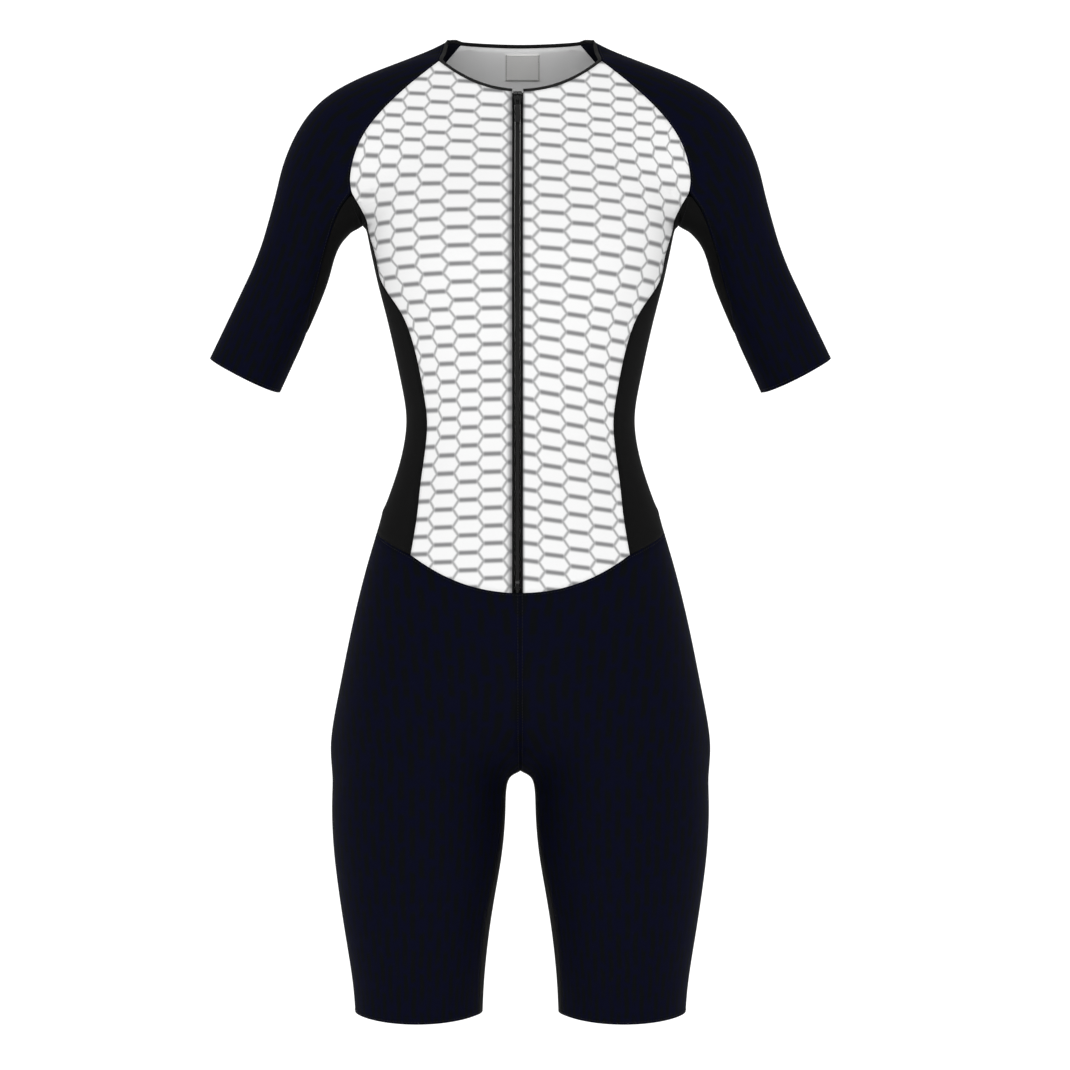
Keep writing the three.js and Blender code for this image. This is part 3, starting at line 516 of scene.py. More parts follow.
@dataclass(frozen=True)
class Cloth:
    """A knitted or woven cloth finish."""

    name: str
    color: tuple[float, float, float]
    ink: tuple[float, float, float] = (0.0, 0.0, 0.0)
    pattern: Print = Print.NONE
    roughness: float = 0.8
    specular: float = 0.02
    relief: float = 0.12
    # Whether painted shade darkens the cloth beside the zip.
    painted_zip_shade: bool = False

    def material(self) -> bpy.types.Material:
        """Builds the material, or finds it if it is there.

        Returns:
            The material.
        """
        found = bpy.data.materials.get(self.name)
        if found:
            return found
        made, g, shader = new_material(self.name)
        shader.inputs["Roughness"].default_value = self.roughness
        shader.inputs["Specular IOR Level"].default_value = self.specular
        geometry = g.node("ShaderNodeNewGeometry")
        knit = g.group(KnitRelief().tree(), Place=geometry.outputs["Position"])
        bump = g.node("ShaderNodeBump")
        bump.inputs["Strength"].default_value = self.relief
        bump.inputs["Distance"].default_value = RELIEF_DEPTH
        g.feed(bump.inputs["Height"], knit.outputs["Height"])
        g.feed(shader.inputs["Normal"], bump.outputs["Normal"])
        g.feed(shader.inputs["Base Color"], self._color(g, geometry))
        return made

    def _color(self, g: Graph, geometry: bpy.types.Node) -> bpy.types.NodeSocket:
        if self.pattern is Print.NONE:
            shade = g.noise(geometry.outputs["Position"], SHADE_SCALE)
            shade = g.ease(shade, *SHADE_REACH)
            pale = tuple(min(c * SHADE_GAIN, 1.0) for c in self.color)
            return g.blend(shade, (*self.color, 1), (*pale, 1))
        place = g.node("ShaderNodeUVMap", uv_map=PRINT_MAP)
        maker = HoneycombPrint() if self.pattern is Print.HONEYCOMB else DashPrint()
        printed = g.group(maker.tree(), Place=place.outputs["UV"])
        cloth = g.blend(printed.outputs["Ink"], (*self.color, 1), (*self.ink, 1))
        # Painted shade: beside the zip the white darkens towards the ink colour, standing in for
        # the shade where the cloth's edge turns in.
        if not self.painted_zip_shade:
            return cloth
        x, _, _ = g.split(geometry.outputs["Position"])
        off = g.math("SUBTRACT", x, ZIP_X)
        near_left = g.fade(off, *PAINTED_ZIP_SHADE_LEFT)
        near_right = g.fade(g.math("MULTIPLY", off, -1.0), *PAINTED_ZIP_SHADE_RIGHT)
        near = g.math("MULTIPLY", near_left, near_right)
        return g.blend(g.math("MULTIPLY", near, PAINTED_ZIP_SHADE), cloth, (*self.ink, 1))


RIDGE_HIGHLIGHT_REACH = (0.5 * MM, 1.5 * MM)
WEAR_SCALE = 600.0
WEAR = 0.12  # how much the roughness varies


@dataclass(frozen=True)
class Hard:
    """A metal or nylon finish."""

    name: str
    color: tuple[float, float, float]
    roughness: float
    metallic: float = 0.0
    specular: float = 0.4
    ridge_highlight: tuple[float, float, float] | None = None  # paler colour along the zip's middle, a painted highlight

    def material(self) -> bpy.types.Material:
        """Builds the material, or finds it if it is there.

        Returns:
            The material.
        """
        found = bpy.data.materials.get(self.name)
        if found:
            return found
        made, g, shader = new_material(self.name)
        shader.inputs["Base Color"].default_value = (*self.color, 1)
        shader.inputs["Metallic"].default_value = self.metallic
        shader.inputs["Specular IOR Level"].default_value = self.specular
        geometry = g.node("ShaderNodeNewGeometry")
        wear = g.noise(geometry.outputs["Position"], WEAR_SCALE)
        rough = g.math("MULTIPLY_ADD", wear, WEAR, self.roughness - WEAR / 2)
        g.feed(shader.inputs["Roughness"], rough)
        # Painted highlight: a paler colour along the zip's middle, where the meshed coil would
        # catch the light.
        if self.ridge_highlight:
            x, _, _ = g.split(geometry.outputs["Position"])
            share = g.ease(g.gap(x, ZIP_X), *RIDGE_HIGHLIGHT_REACH)
            color = g.blend(share, (*self.ridge_highlight, 1), (*self.color, 1))
            g.feed(shader.inputs["Base Color"], color)
        return made


# The fronts carry painted shade beside the zip; the back has none.
WHITE_KNIT = Cloth(
    "white_honeycomb_knit", (0.87, 0.87, 0.87), (0.115, 0.115, 0.12), Print.HONEYCOMB,
    painted_zip_shade=True,
)
WHITE_BACK = replace(WHITE_KNIT, name="white_honeycomb_back_knit", painted_zip_shade=False)
WHITE_INSIDE = Cloth("white_knit_inside", (0.965, 0.965, 0.965))
NAVY_KNIT = Cloth(
    "navy_dashed_knit", (0.0026, 0.0031, 0.0112), (0.003, 0.0036, 0.0046), Print.DASHES
)
NAVY_INSIDE = Cloth("navy_knit_inside", (0.005, 0.0055, 0.011), specular=0.05)
BLACK_KNIT = Cloth("plain_black_knit", (0.0056, 0.0056, 0.0056), specular=0.025)
BINDING = Cloth("black_binding", (0.012, 0.012, 0.012), specular=0.1, relief=0.3)
TAPE = Cloth("black_zip_tape", (0.008, 0.008, 0.008), relief=0.4)
LABEL = Cloth("blank_label_cloth", (0.86, 0.855, 0.84), relief=0.2)
DARK_THREAD = Cloth("black_thread", (0.011, 0.011, 0.013), specular=0.08, relief=0.3)
LABEL_THREAD = Cloth("grey_label_thread", (0.34, 0.34, 0.335), relief=0.3)
# The coil carries a painted highlight along its middle.
COIL = Hard("black_nylon_coil", (0.005, 0.005, 0.005), 0.5, 0.0, 0.1, (0.017, 0.017, 0.017))
ZIP_METAL = Hard("black_zip_metal", (0.006, 0.006, 0.006), 0.35, 0.0, 0.2)
STOP_METAL = Hard("dark_stop_metal", (0.05, 0.05, 0.05), 0.4, metallic=0.5)


# Cloth walls.

MERGE_DISTANCE = 0.002 * MM
SHARP_ANGLE = math.radians(50)
QUAD_BEND = math.radians(35)
QUAD_SKEW = math.radians(150)
FOLDED_SHARE = 0.05  # from this share of a side's area, a region isn't a wall's edge
SEAM_REACH = 0.18 * MM
LEAST_WALL = 1.3 * MM  # how far the inner side stays behind the outer one
CREASE_LAYER = "crease_edge"
SMOOTH_LEVELS = 2


def walled_copy(node: bpy.types.Object) -> bmesh.types.BMesh:
    """Copies a CAD wall as clean quads, with each face's side as its material index.

    Args:
        node: The CAD node.

    Returns:
        The mesh, to be freed by the caller.
    """
    mesh = bmesh.new()
    mesh.from_mesh(node.data)
    bmesh.ops.remove_doubles(mesh, verts=mesh.verts, dist=MERGE_DISTANCE)
    bmesh.ops.join_triangles(
        mesh,
        faces=mesh.faces,
        angle_face_threshold=QUAD_BEND,
        angle_shape_threshold=QUAD_SKEW,
    )
    crease = mesh.edges.layers.float.new(CREASE_LAYER)
    mesh.normal_update()
    sharp = {e for e in mesh.edges if e.calc_face_angle(0) > SHARP_ANGLE}
    middle = sum((v.co for v in mesh.verts), Vector()) / len(mesh.verts)
    regions = sorted(smooth_regions(mesh, sharp), key=region_area)
    sheets = regions[-2:]
    sheets.sort(key=lambda faces: outwardness(faces, middle), reverse=True)
    least = region_area(sheets[0]) * FOLDED_SHARE
    for region in regions[:-2]:
        folds = [shared_edges(region, sheet) for sheet in sheets]
        if region_area(region) > least or not all(folds):
            grown = 0 if folds[0] else 1
            sheets[grown] |= region
            sharp -= folds[grown]
    for edge in sharp:
        edge[crease] = 1.0
    for face in mesh.faces:
        face.material_index = Face.EDGE.value
        face.smooth = True
    for sheet, look in zip(sheets, (Face.OUTSIDE, Face.INSIDE)):
        for face in sheet:
            face.material_index = look.value
    return mesh


def shared_edges(
    region: set[bmesh.types.BMFace], sheet: set[bmesh.types.BMFace]
) -> set[bmesh.types.BMEdge]:
    """Finds where two groups of faces meet.

    Args:
        region: One group.
        sheet: The other.

    Returns:
        The edges between them.
    """
    return {
        edge
        for face in region
        for edge in face.edges
        if any(other in sheet for other in edge.link_faces)
    }


def close_seams(mesh: bmesh.types.BMesh) -> None:
    """Lets a wall's edges reach a little past the seam, so that no light shows.

    Args:
        mesh: A wall with its sides told apart.
    """
    moves = {}
    for face in mesh.faces:
        if face.material_index == Face.EDGE.value:
            for vertex in face.verts:
                moves.setdefault(vertex, []).append(face.normal.copy())
    for vertex, normals in moves.items():
        kinds = []
        for normal in normals:
            if all(normal.dot(kind) < math.cos(SHARP_ANGLE) for kind in kinds):
                kinds.append(normal)
        for kind in kinds:
            vertex.co += kind * SEAM_REACH


def region_area(faces: Iterable[bmesh.types.BMFace]) -> float:
    """Adds up the area of some faces.

    Args:
        faces: The faces.

    Returns:
        Their area.
    """
    return sum(face.calc_area() for face in faces)


def outwardness(faces: Iterable[bmesh.types.BMFace], middle: Vector) -> float:
    """Says how much some faces look away from a point.

    Args:
        faces: The faces.
        middle: The point.

    Returns:
        More for faces that look away from it.
    """
    return sum(
        face.calc_area() * face.normal.dot(face.calc_center_median() - middle)
        for face in faces
    )


def smooth_regions(
    mesh: bmesh.types.BMesh, sharp: set[bmesh.types.BMEdge]
) -> list[set[bmesh.types.BMFace]]:
    """Groups faces that meet without a sharp edge.

    Args:
        mesh: The mesh.
        sharp: Its sharp edges.

    Returns:
        The groups.
    """
    left = set(mesh.faces)
    groups = []
    while left:
        group = set()
        stack = [left.pop()]
        while stack:
            face = stack.pop()
            group.add(face)
            for edge in face.edges:
                if edge in sharp:
                    continue
                for other in edge.link_faces:
                    if other in left:
                        left.remove(other)
                        stack.append(other)
        groups.append(group)
    return groups


def settled(
    name: str,
    mesh: bmesh.types.BMesh,
    levels: int,
    looks: Sequence[Cloth | Hard],
) -> bpy.types.Object:
    """Makes an object from a mesh, smoothed by subdivision.

    Args:
        name: The object's name.
        mesh: The mesh, which is freed.
        levels: How often it is subdivided.
        looks: The finishes of its material slots.

    Returns:
        The object, with its shape in its own mesh.
    """
    data = bpy.data.meshes.new(name)
    for look in looks:
        data.materials.append(look.material())
    mesh.to_mesh(data)
    mesh.free()
    obj = add_object(name, data)
    smoother = obj.modifiers.new("smooth", "SUBSURF")
    smoother.levels = levels
    smoother.render_levels = levels
    bpy.context.view_layer.update()
    shown = obj.evaluated_get(bpy.context.evaluated_depsgraph_get())
    fine = bpy.data.meshes.new_from_object(shown)
    obj.modifiers.clear()
    obj.data = fine
    bpy.data.meshes.remove(data)
    fine.name = name
    return obj


def tuck_inside(mesh: bpy.types.Mesh) -> None:
    """Draws the inner side back where a tight turn brings it through the outer one.

    Args:
        mesh: A smoothed wall with its sides told apart.
    """
    outer = [
        tuple(face.vertices)
        for face in mesh.polygons
        if face.material_index == Face.OUTSIDE.value
    ]
    tree = BVHTree.FromPolygons([vertex.co for vertex in mesh.vertices], outer)
    kept = {
        index
        for face in mesh.polygons
        if face.material_index != Face.INSIDE.value
        for index in face.vertices
    }
    for vertex in mesh.vertices:
        if vertex.index in kept:
            continue
        spot, normal, _, _ = tree.find_nearest(vertex.co)
        if (spot - vertex.co).dot(normal) < LEAST_WALL:
            vertex.co = spot - normal * LEAST_WALL


def chart(obj: bpy.types.Object, place: Callable[[Vector], tuple[float, float]]) -> None:
    """Gives a cloth its print coordinates.

    Args:
        obj: The cloth.
        place: Turns a point into print coordinates.
    """
    layer = obj.data.uv_layers.new(name=PRINT_MAP)
    places = [place(vertex.co) for vertex in obj.data.vertices]
    for loop in obj.data.loops:
        layer.data[loop.index].uv = places[loop.vertex_index]


@dataclass(frozen=True)
class StitchRow:
    """A row of short straight stitches beside the edge of a cloth."""

    inset: float = 2.2 * MM
    pitch: float = 3.1 * MM
    length: float = 2.3 * MM
    half_width: float = 0.28 * MM
    lift: float = 0.12 * MM
    body_share: float = 0.7  # of the length, between the tapers at the ends
    flatness: float = 0.8  # the upper half's height for its half width

    def sew(
        self, name: str, cloth: bpy.types.Object, look: Cloth, side: Face = Face.OUTSIDE
    ) -> bpy.types.Object:
        """Sews along every edge of one side of a cloth.

        Args:
            name: The name of the stitches' object.
            cloth: The cloth.
            look: The thread's finish.
            side: The side of the cloth that shows the stitches.

        Returns:
            One object with all the stitches.
        """
        threads = bmesh.new()
        source = bmesh.new()
        source.from_mesh(cloth.data)
        skin = source.copy()
        others = [f for f in skin.faces if f.material_index != side.value]
        bmesh.ops.delete(skin, geom=others, context="FACES")
        surface = BVHTree.FromBMesh(skin)
        skin.free()
        for ring in border_rings(source, side):
            self._sew_ring(threads, ring, surface)
        source.free()
        return add_mesh(name, threads, look)

    def _sew_ring(
        self, threads: bmesh.types.BMesh, ring: list[tuple[Vector, Vector]], surface: BVHTree
    ) -> None:
        passed = 0.0
        count = len(ring)
        for index, (here, inward) in enumerate(ring):
            after = ring[(index + 1) % count][0]
            run = after - here
            while run.length and passed < run.length:
                spot = here + run * (passed / run.length) + inward * self.inset
                found, normal, _, _ = surface.find_nearest(spot)
                along = run - normal * run.dot(normal)
                if along.length:
                    self._thread(threads, found + normal * self.lift, along.normalized(), normal)
                passed += self.pitch
            passed -= run.length

    def _thread(
        self, threads: bmesh.types.BMesh, middle: Vector, along: Vector, normal: Vector
    ) -> None:
        across = along.cross(normal)
        spokes = (across, normal * self.flatness, -across, -normal)
        ends = (along * (self.length * -0.5), along * (self.length * 0.5))
        low, high = (
            [
                threads.verts.new(middle + end * self.body_share + spoke * self.half_width)
                for spoke in spokes
            ]
            for end in ends
        )
        tips = [threads.verts.new(middle + end - normal * self.half_width) for end in ends]
        for index in range(len(spokes)):
            other = (index + 1) % len(spokes)
            threads.faces.new((low[index], low[other], high[other], high[index])).smooth = True
            threads.faces.new((tips[0], low[other], low[index])).smooth = True
            threads.faces.new((tips[1], high[index], high[other])).smooth = True


LABEL_STITCH = StitchRow(inset=1.1 * MM, pitch=1.9 * MM, length=1.5 * MM, half_width=0.2 * MM)


def border_rings(
    mesh: bmesh.types.BMesh, side: Face
) -> list[list[tuple[Vector, Vector]]]:
    """Follows the edges of one side of a cloth wall.

    Args:
        mesh: The wall.
        side: The side.

    Returns:
        For each closed edge its points in order, each with the direction into the cloth.
    """
    starts = {}
    for face in mesh.faces:
        if face.material_index != side.value:
            continue
        middle = face.calc_center_median()
        for loop in face.loops:
            others = [f for f in loop.edge.link_faces if f is not face]
            if any(f.material_index == side.value for f in others):
                continue
            a, b = loop.vert.co, loop.link_loop_next.vert.co
            run = (b - a).normalized()
            inward = middle - a
            inward -= run * inward.dot(run)
            starts[loop.vert] = (loop.link_loop_next.vert, inward.normalized())
    rings = []
    while starts:
        vertex = next(iter(starts))
        ring = []
        while vertex in starts:
            after, inward = starts.pop(vertex)
            ring.append((vertex.co.copy(), inward))
            vertex = after
        rings.append(ring)
    return rings


# Print coordinates.
#
# The chart says how the honeycomb lies on the body. A row gives the drop and the
# honeycomb's row number there. For the wearer's left and right it gives the space between
# two columns along the cloth, the distance of the first column from the middle, and how
# many rows the print falls for each FALL_RUN outwards. Each space is narrower than the one
# before by the last value. Drops and distances are millimetres.


class PrintRow(NamedTuple):
    """A row of the honeycomb's chart."""

    drop: float
    row: float
    left_pitch: float
    left_first: float
    left_fall: float
    right_pitch: float
    right_first: float
    right_fall: float
    narrowing: float


HONEYCOMB_CHART = (
    PrintRow(65, 0.4, 26.8, 30.6, 0.50, 27.2, 24.2, -0.45, 1.8),
    PrintRow(110, 3.4, 27.8, 31.6, 0.50, 29.2, 26.3, -0.37, 2.6),
    PrintRow(180, 7.6, 30.6, 33.4, 0.40, 31.0, 27.6, 0.02, 1.9),
    PrintRow(221, 10.0, 29.8, 32.0, 0.52, 31.0, 24.9, 0.09, 1.3),
    PrintRow(290, 14.1, 26.6, 30.4, 0.81, 26.0, 23.8, 0.10, 2.4),
    PrintRow(340, 17.0, 25.0, 30.4, 0.95, 23.6, 24.4, 0.11, 2.2),
    PrintRow(370, 18.7, 24.0, 31.9, 0.99, 22.6, 24.2, 0.12, 1.6),
    PrintRow(434, 22.4, 24.4, 33.7, 0.86, 23.4, 24.2, 0.22, 0.3),
    PrintRow(475, 24.8, 24.3, 33.8, 0.80, 24.4, 22.8, 0.22, 0.2),
    PrintRow(520, 27.5, 24.6, 35.8, 0.74, 24.4, 22.8, 0.20, 0.2),
)
FALL_RUN = 100
RIGHT_ROW_SHIFT = -0.3  # added to the row number on the wearer's right
ARC_STEPS = 14
DEPTH_SHARE = 0.6  # how much of the cloth's turning away its print follows
STEEPEST = 2.5  # the most rise that is followed, for each length across
LEAST_NARROWING = 0.01  # less than this counts as even spaces
NARROWING_END = 0.4  # place times narrowing is followed up to here
NARROWED_SLOPE = 2.2  # from there on, columns for each width of the first space
BACK_PITCH = 25.0
BACK_ROW = 17.2
FAR = 1.0  # where rays towards the suit start, before or behind it


def narrowed(place: float, narrowing: float) -> float:
    """Counts columns that grow narrower outwards.

    Args:
        place: The distance from the first column, in widths of the first space.
        narrowing: How much narrower each next space is, as a share of the first.

    Returns:
        The column number, from 0 at the first column.
    """
    if place <= 0 or narrowing < LEAST_NARROWING:
        return place
    full = min(place, NARROWING_END / narrowing)
    inner = (1 - math.sqrt(1 - 2 * narrowing * full)) / narrowing
    return inner + (place - full) * NARROWED_SLOPE


@dataclass
class BodyChart:
    """Print coordinates of the fronts and the back, along the cloth from the middle."""

    surface: BVHTree
    facing: int
    middle: float = ZIP_X

    def depth(self, x: float, z: float) -> float | None:
        """Finds the cloth's outer face.

        Args:
            x: Where across.
            z: At what height.

        Returns:
            Its Y, or None beyond the cloth.
        """
        start = Vector((x, self.facing * FAR, z))
        hit = self.surface.ray_cast(start, Vector((0, -self.facing, 0)))
        return None if hit[0] is None else hit[0].y

    def place(self, point: Vector) -> tuple[float, float]:
        """Gives the print coordinates of a point.

        Args:
            point: A point of the cloth.

        Returns:
            Its column and row.
        """
        drop = drop_of(point.z)
        along = self.girth(point) / MM
        if self.facing > 0:
            return math.copysign(along / BACK_PITCH, point.x), drop / BACK_ROW
        side = "left" if point.x > self.middle else "right"
        pitch = read_table(HONEYCOMB_CHART, drop, f"{side}_pitch")
        first = read_table(HONEYCOMB_CHART, drop, f"{side}_first")
        fall = read_table(HONEYCOMB_CHART, drop, f"{side}_fall")
        narrowing = read_table(HONEYCOMB_CHART, drop, "narrowing")
        column = 1 + narrowed((along - first) / pitch, narrowing / pitch)
        row = read_table(HONEYCOMB_CHART, drop, "row") - fall * (along - first) / FALL_RUN
        if side == "right":
            row += RIGHT_ROW_SHIFT
            column = -column
        return column, row + 0.5

    def girth(self, point: Vector) -> float:
        """Measures along the cloth, level, from the middle.

        Args:
            point: A point of the cloth.

        Returns:
            The length in metres.
        """
        reach = point.x - self.middle
        total = 0.0
        before = None
        for step in range(ARC_STEPS + 1):
            here = self.depth(self.middle + reach * step / ARC_STEPS, point.z)
            if step:
                rise = 0.0 if here is None or before is None else here - before
                steepest = STEEPEST * abs(reach) / ARC_STEPS
                rise = min(max(rise, -steepest), steepest)
                total += math.hypot(reach / ARC_STEPS, rise * DEPTH_SHARE)
            before = here if here is not None else before
        return total


class AxisPoint(NamedTuple):
    """A point on the line that a sleeve's print runs along, for the wearer's left."""

    x: float
    drop: float


SLEEVE_LINE = (
    AxisPoint(40, 40),
    AxisPoint(110, 60),
    AxisPoint(165, 95),
    AxisPoint(205, 160),
    AxisPoint(230, 235),
    AxisPoint(275, 340),
)
SLEEVE_PRINT_RADIUS = 48 * MM
LEG_PRINT_RADIUS = 84 * MM
LEG_CENTRE_X = 98 * MM
LEG_START_DROP = 470  # where the print's middle starts to part into the two legs
LEG_FULL_DROP = 700


def sleeve_place(point: Vector) -> tuple[float, float]:
    """Gives a sleeve's print coordinates: round the arm, and along it.

    Args:
        point: A point of either sleeve.

    Returns:
        Two lengths in metres.
    """
    here = Vector((abs(point.x), drop_of(point.z) * MM))
    best = None
    passed = 0.0
    for start, end in zip(SLEEVE_LINE, SLEEVE_LINE[1:]):
        a = Vector((start.x, start.drop)) * MM
        b = Vector((end.x, end.drop)) * MM
        run = b - a
        share = min(max((here - a).dot(run) / run.length_squared, 0.0), 1.0)
        gap = here - (a + run * share)
        if best is None or gap.length < best[0]:
            outward = math.copysign(gap.length, run.x * -gap.y + run.y * gap.x)
            best = (gap.length, passed + share * run.length, outward)
        passed += run.length
    angle = math.atan2(-point.y, best[2])
    return angle * SLEEVE_PRINT_RADIUS, best[1]


def shorts_place(point: Vector) -> tuple[float, float]:
    """Gives the print coordinates of the shorts: round the leg, and down it.

    Args:
        point: A point of either half.

    Returns:
        Two lengths in metres.
    """
    drop = drop_of(point.z)
    share = min(max((drop - LEG_START_DROP) / (LEG_FULL_DROP - LEG_START_DROP), 0.0), 1.0)
    centre = LEG_CENTRE_X * share
    angle = math.atan2(abs(point.x) - centre, -point.y)
    turned = math.copysign(min(abs(angle), math.pi - abs(angle)), angle)
    return turned * LEG_PRINT_RADIUS + centre, drop * MM


class Cut(NamedTuple):
    """The flat piece that one kind of panel is cut from, in metres."""

    width: float
    length: float
    area: float


@dataclass
class SuitCloth:
    """The cloth panels of the suit."""

    frame: dict
    panels: dict[str, bpy.types.Object] = field(default_factory=dict)
    stitches: dict[str, bpy.types.Object] = field(default_factory=dict)

    def panel(
        self,
        node: str,
        slot: str,
        looks: tuple[Cloth, Cloth],
        place: Callable[[Vector], tuple[float, float]] | None = None,
    ) -> None:
        """Builds one panel from its CAD wall.

        Args:
            node: The CAD node's name.
            slot: The record's material slot. Not used.
            looks: The finishes outside and inside.
            place: Its print coordinates, if it is printed.
        """
        wall = walled_copy(self.frame["nodes"][node])
        close_seams(wall)
        outside, inside = looks
        slots = (outside, inside, inside)
        obj = settled(f"{node}_cloth", wall, SMOOTH_LEVELS, slots)
        tuck_inside(obj.data)
        if place:
            chart(obj, place)
        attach(obj, SUIT_BODY)
        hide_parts(node)
        self.panels[node] = obj
        LOG.info("%s: %d faces", obj.name, len(obj.data.polygons))

    def build(self) -> None:
        """Builds all the panels."""
        fronts = BodyChart(self._surface(("front_left", "front_right")), -1)
        behind = BodyChart(self._surface(("back",)), 1, 0.0)
        for body, look, nodes in (
            (fronts, WHITE_KNIT, ("front_left", "front_right")),
            (behind, WHITE_BACK, ("back",)),
        ):
            for node in nodes:
                self.panel(node, "white_knit", (look, WHITE_INSIDE), body.place)
        for side in Side:
            name = side.name.lower()
            self.panel(f"sleeve_{name}", "navy_knit", (NAVY_KNIT, NAVY_INSIDE), sleeve_place)
            self.panel(f"shorts_{name}", "navy_knit", (NAVY_KNIT, NAVY_INSIDE), shorts_place)
            self.panel(f"side_{name}", "black_knit", (BLACK_KNIT, BLACK_KNIT))
            self.panel(f"inner_leg_{name}", "black_knit", (BLACK_KNIT, BLACK_KNIT))
        for kind in ("sleeve", "shorts", "side", "inner_leg"):
            for side in Side:
                node = f"{kind}_{side.name.lower()}"
                stitches = StitchRow().sew(f"{node}_stitches", self.panels[node], DARK_THREAD)
                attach(stitches, SUIT_BODY)
                self.stitches[node] = stitches
        for node, panel in self.panels.items():
            sewn = [self.stitches[node]] if node in self.stitches else []

    def _surface(self, nodes: Iterable[str]) -> BVHTree:
        mesh = bmesh.new()
        for node in nodes:
            mesh.from_mesh(self.frame["nodes"][node].data)
        tree = BVHTree.FromBMesh(mesh)
        mesh.free()
        return tree


TOOTH_PITCH = 1.4 * MM
TOOTH_OFFSET = 0.5 * MM
# Each ring's distance across, height and half width, in millimetres.
TOOTH_RINGS = ((-0.9, -0.1, 0.2), (-0.6, 0.1, 0.42), (0.6, 0.12, 0.45), (1.3, -0.2, 0.3))
TOOTH_SIDES = 6
TOOTH_TURNED = 2 * TOOTH_SIDES + 2  # a tooth's last faces, which are turned outwards


@dataclass
class Trim:
    """The neck binding, the label and the zip."""

    frame: dict

    def dressed(
        self,
        node: str,
        look: Cloth | Hard,
        levels: int = 0,
        body: str = SUIT_BODY,
        closed: bool = False,
    ) -> bpy.types.Object:
        """Builds a smoothed copy of a CAD node.

        Args:
            node: The CAD node's name.
            look: Its finish.
            levels: How often it is subdivided.
            body: The body that it moves with.
            closed: Whether its seams are closed against light.

        Returns:
            The object.
        """
        solid = walled_copy(self.frame["nodes"][node])
        if closed:
            close_seams(solid)
        obj = settled(f"{node}_look", solid, levels, [look] * len(Face))
        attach(obj, body)
        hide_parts(node)
        LOG.info("%s: %d faces", obj.name, len(obj.data.polygons))
        return obj

    def label_border(self, label: bpy.types.Object) -> None:
        """Sews the label on with a row of stitches near its edge.

        Args:
            label: The label.
        """
        faces = label.data.polygons
        outside = [f for f in faces if f.material_index == Face.OUTSIDE.value]
        forward = sum(f.normal.y * f.area for f in outside)
        shown = Face.OUTSIDE if forward < 0 else Face.INSIDE
        stitches = LABEL_STITCH.sew("neck_label_stitches", label, LABEL_THREAD, shown)
        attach(stitches, SUIT_BODY)

    def teeth(self, coil: bpy.types.Object) -> None:
        """Builds the meshed loops that show on the closed zip.

        Args:
            coil: The coil's solid strip.
        """
        source = bmesh.new()
        source.from_mesh(coil.data)
        surface = BVHTree.FromBMesh(source)
        low = min(v.co.z for v in source.verts) + TOOTH_PITCH
        height = max(v.co.z for v in source.verts) - TOOTH_PITCH
        source.free()
        made = bmesh.new()
        side = 1
        while height > low:
            start = Vector((ZIP_X + side * TOOTH_OFFSET, -FAR, height))
            found, normal, _, _ = surface.ray_cast(start, Vector((0, 1, 0)))
            if found is not None:
                self._tooth(made, found, normal, side)
                down = math.hypot(normal.y, normal.z)
                height -= TOOTH_PITCH * abs(normal.y) / down
            else:
                height -= TOOTH_PITCH
            side = -side
        obj = add_mesh("zip_coil_teeth", made, COIL)
        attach(obj, SUIT_BODY)

    def _tooth(self, made: bmesh.types.BMesh, spot: Vector, normal: Vector, side: int) -> None:
        across = Vector((side, 0, 0))
        along = normal.cross(across).normalized()
        rings = []
        for reach, height, half in TOOTH_RINGS:
            centre = spot + across * (reach * MM) + normal * (height * MM)
            ring = []
            for step in range(TOOTH_SIDES):
                turn = math.radians(360 / TOOTH_SIDES * step)
                spoke = along * math.cos(turn) + normal * math.sin(turn)
                ring.append(made.verts.new(centre + spoke * (half * MM)))
            rings.append(ring)
        for low, high in zip(rings, rings[1:]):
            for index in range(TOOTH_SIDES):
                other = (index + 1) % TOOTH_SIDES
                face = made.faces.new((low[index], high[index], high[other], low[other]))
                face.smooth = True
        made.faces.new(rings[0])
        made.faces.new(rings[-1][::-1])
        bmesh.ops.recalc_face_normals(made, faces=made.faces[-TOOTH_TURNED:])

    def build(self) -> None:
        """Builds the trim."""
        self.dressed("neck_binding", BINDING, 2)
        label = self.dressed("neck_label", LABEL, 2)
        self.label_border(label)
        for node in ("zip_tape_left", "zip_tape_right"):
            self.dressed(node, TAPE, 2, closed=True)
        coil = self.dressed("zip_coil", COIL, 2, closed=True)
        self.teeth(coil)
        for node in ("zip_slider", "zip_slider_bridge"):
            self.dressed(node, ZIP_METAL)
        self.dressed("zip_pull_tab", ZIP_METAL, body=TAB_BODY)
        for node in ("zip_top_stop_left", "zip_top_stop_right", "zip_bottom_stop"):
            self.dressed(node, STOP_METAL)


# Studio.

WHITE = (1.0, 1.0, 1.0, 1.0)
DIM_WALL = (0.9, 0.9, 0.9, 1.0)
PALE_WALL = (0.92, 0.92, 0.92, 1.0)


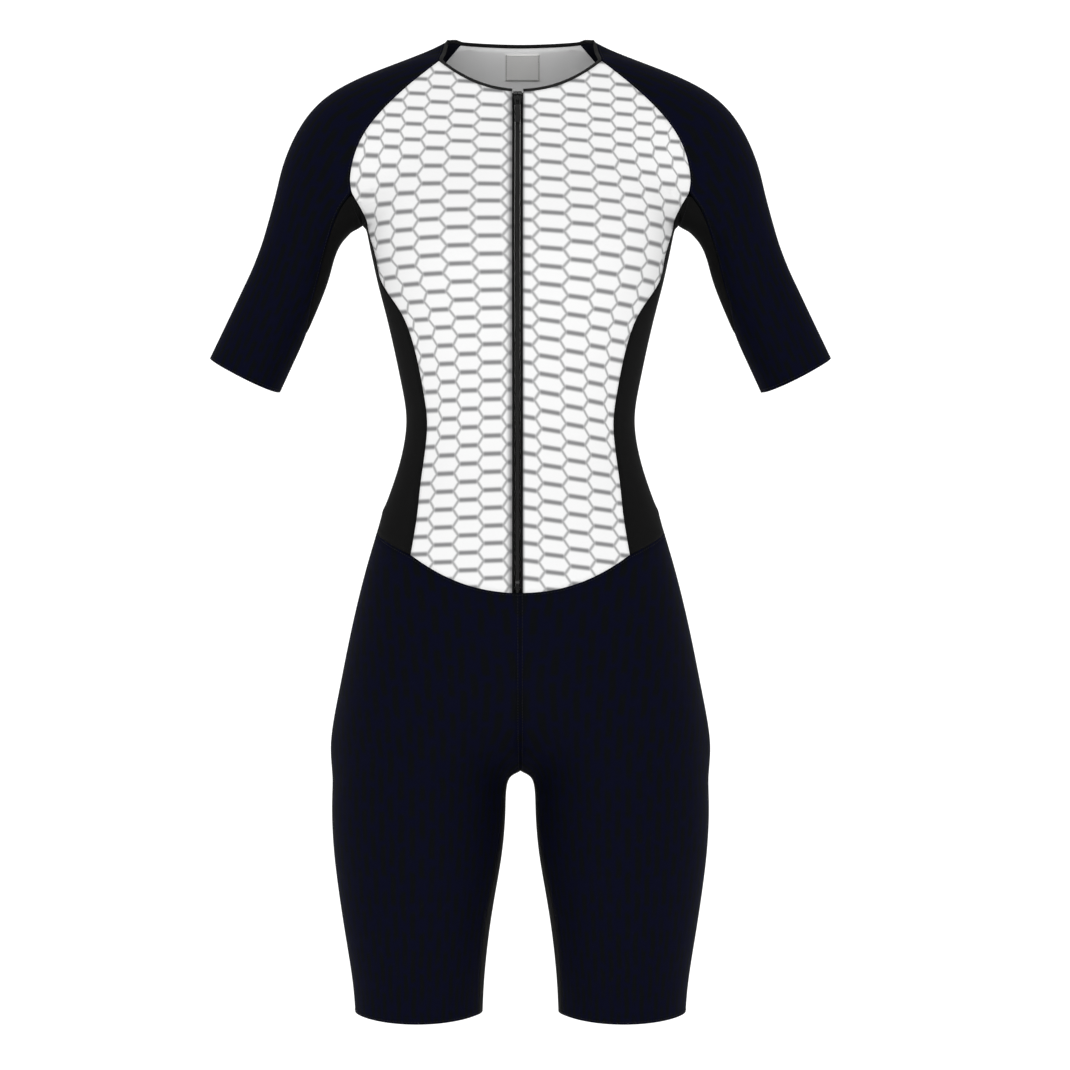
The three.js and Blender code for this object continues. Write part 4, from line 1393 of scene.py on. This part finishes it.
@dataclass(frozen=True)
class Studio:
    """The camera, the lights and the pale room."""

    camera_place: tuple[float, float, float] = (14.2 * MM, -3.5, -474 * MM)
    lens: float = 120.2
    sensor: float = 36.0
    aim: tuple[float, float, float] = (0.0, 0.0, -0.45)
    floor_height: float = -1.6
    reach: float = 6.0  # how far the room goes to each side, forwards, back and up
    bend: float = 1.2  # the radius of the curve between floor and wall
    bend_steps: int = 8
    glow: float = 0.25
    cloud_scale: float = 0.5

    def camera(self) -> None:
        """Adds the camera of the photo: level, straight on, far away."""
        data = bpy.data.cameras.new("camera")
        data.lens = self.lens
        data.sensor_width = self.sensor
        obj = add_object("camera", data)
        obj.location = self.camera_place
        obj.rotation_euler = (math.radians(90), 0, 0)
        bpy.context.scene.camera = obj

    def lamp(
        self, name: str, place: tuple[float, float, float], size: float, power: float
    ) -> None:
        """Adds a square soft light that faces the suit's middle.

        Args:
            name: Its name.
            place: Where it is.
            size: Its side.
            power: Its power in watts.
        """
        data = bpy.data.lights.new(name, "AREA")
        data.size = size
        data.energy = power
        obj = add_object(name, data)
        obj.location = place
        gaze = Vector(self.aim) - Vector(place)
        obj.rotation_euler = gaze.to_track_quat("-Z", "Y").to_euler()

    def room(self) -> None:
        """Adds a pale floor that curves up into a wall."""
        shape = bmesh.new()
        profile = [(-self.reach, self.floor_height)]
        for step in range(self.bend_steps + 1):
            turn = math.radians(90 * step / self.bend_steps)
            y = self.reach - self.bend + self.bend * math.sin(turn)
            profile.append((y, self.floor_height + self.bend - self.bend * math.cos(turn)))
        profile.append((self.reach, self.reach))
        rows = [
            [shape.verts.new((x, y, z)) for x in (-self.reach, self.reach)]
            for y, z in profile
        ]
        for low, high in zip(rows, rows[1:]):
            shape.faces.new((low[0], low[1], high[1], high[0])).smooth = True
        add_mesh("studio_room", shape, self)

    def material(self) -> bpy.types.Material:
        """Builds the room's white, which glows a little.

        Returns:
            The material.
        """
        made, g, shader = new_material("studio_white")
        shader.inputs["Roughness"].default_value = 1.0
        shader.inputs["Specular IOR Level"].default_value = 0.0
        shader.inputs["Emission Strength"].default_value = self.glow
        shader.inputs["Emission Color"].default_value = WHITE
        geometry = g.node("ShaderNodeNewGeometry")
        cloud = g.noise(geometry.outputs["Position"], self.cloud_scale)
        g.feed(shader.inputs["Base Color"], g.blend(cloud, DIM_WALL, PALE_WALL))
        return made

    def build(self) -> None:
        """Builds the studio."""
        world = bpy.data.worlds.new("studio")
        bpy.context.scene.world = world
        world.use_nodes = True
        sky = world.node_tree.nodes["Background"]
        sky.inputs["Color"].default_value = WHITE
        sky.inputs["Strength"].default_value = 1.0
        bpy.context.scene.view_settings.view_transform = "Standard"
        self.camera()
        self.lamp("key", place=(-1.4, -3.4, 1.4), size=2.0, power=9)
        self.lamp("fill", place=(2.0, -3.2, 0.2), size=2.4, power=5)
        self.room()


def main() -> None:
    """Builds the suit's looks and its studio."""
    logging.basicConfig(level=logging.INFO, format="%(message)s")
    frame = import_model()
    SuitCloth(frame).build()
    Trim(frame).build()
    Studio().build()


if __name__ == "__main__":
    main()
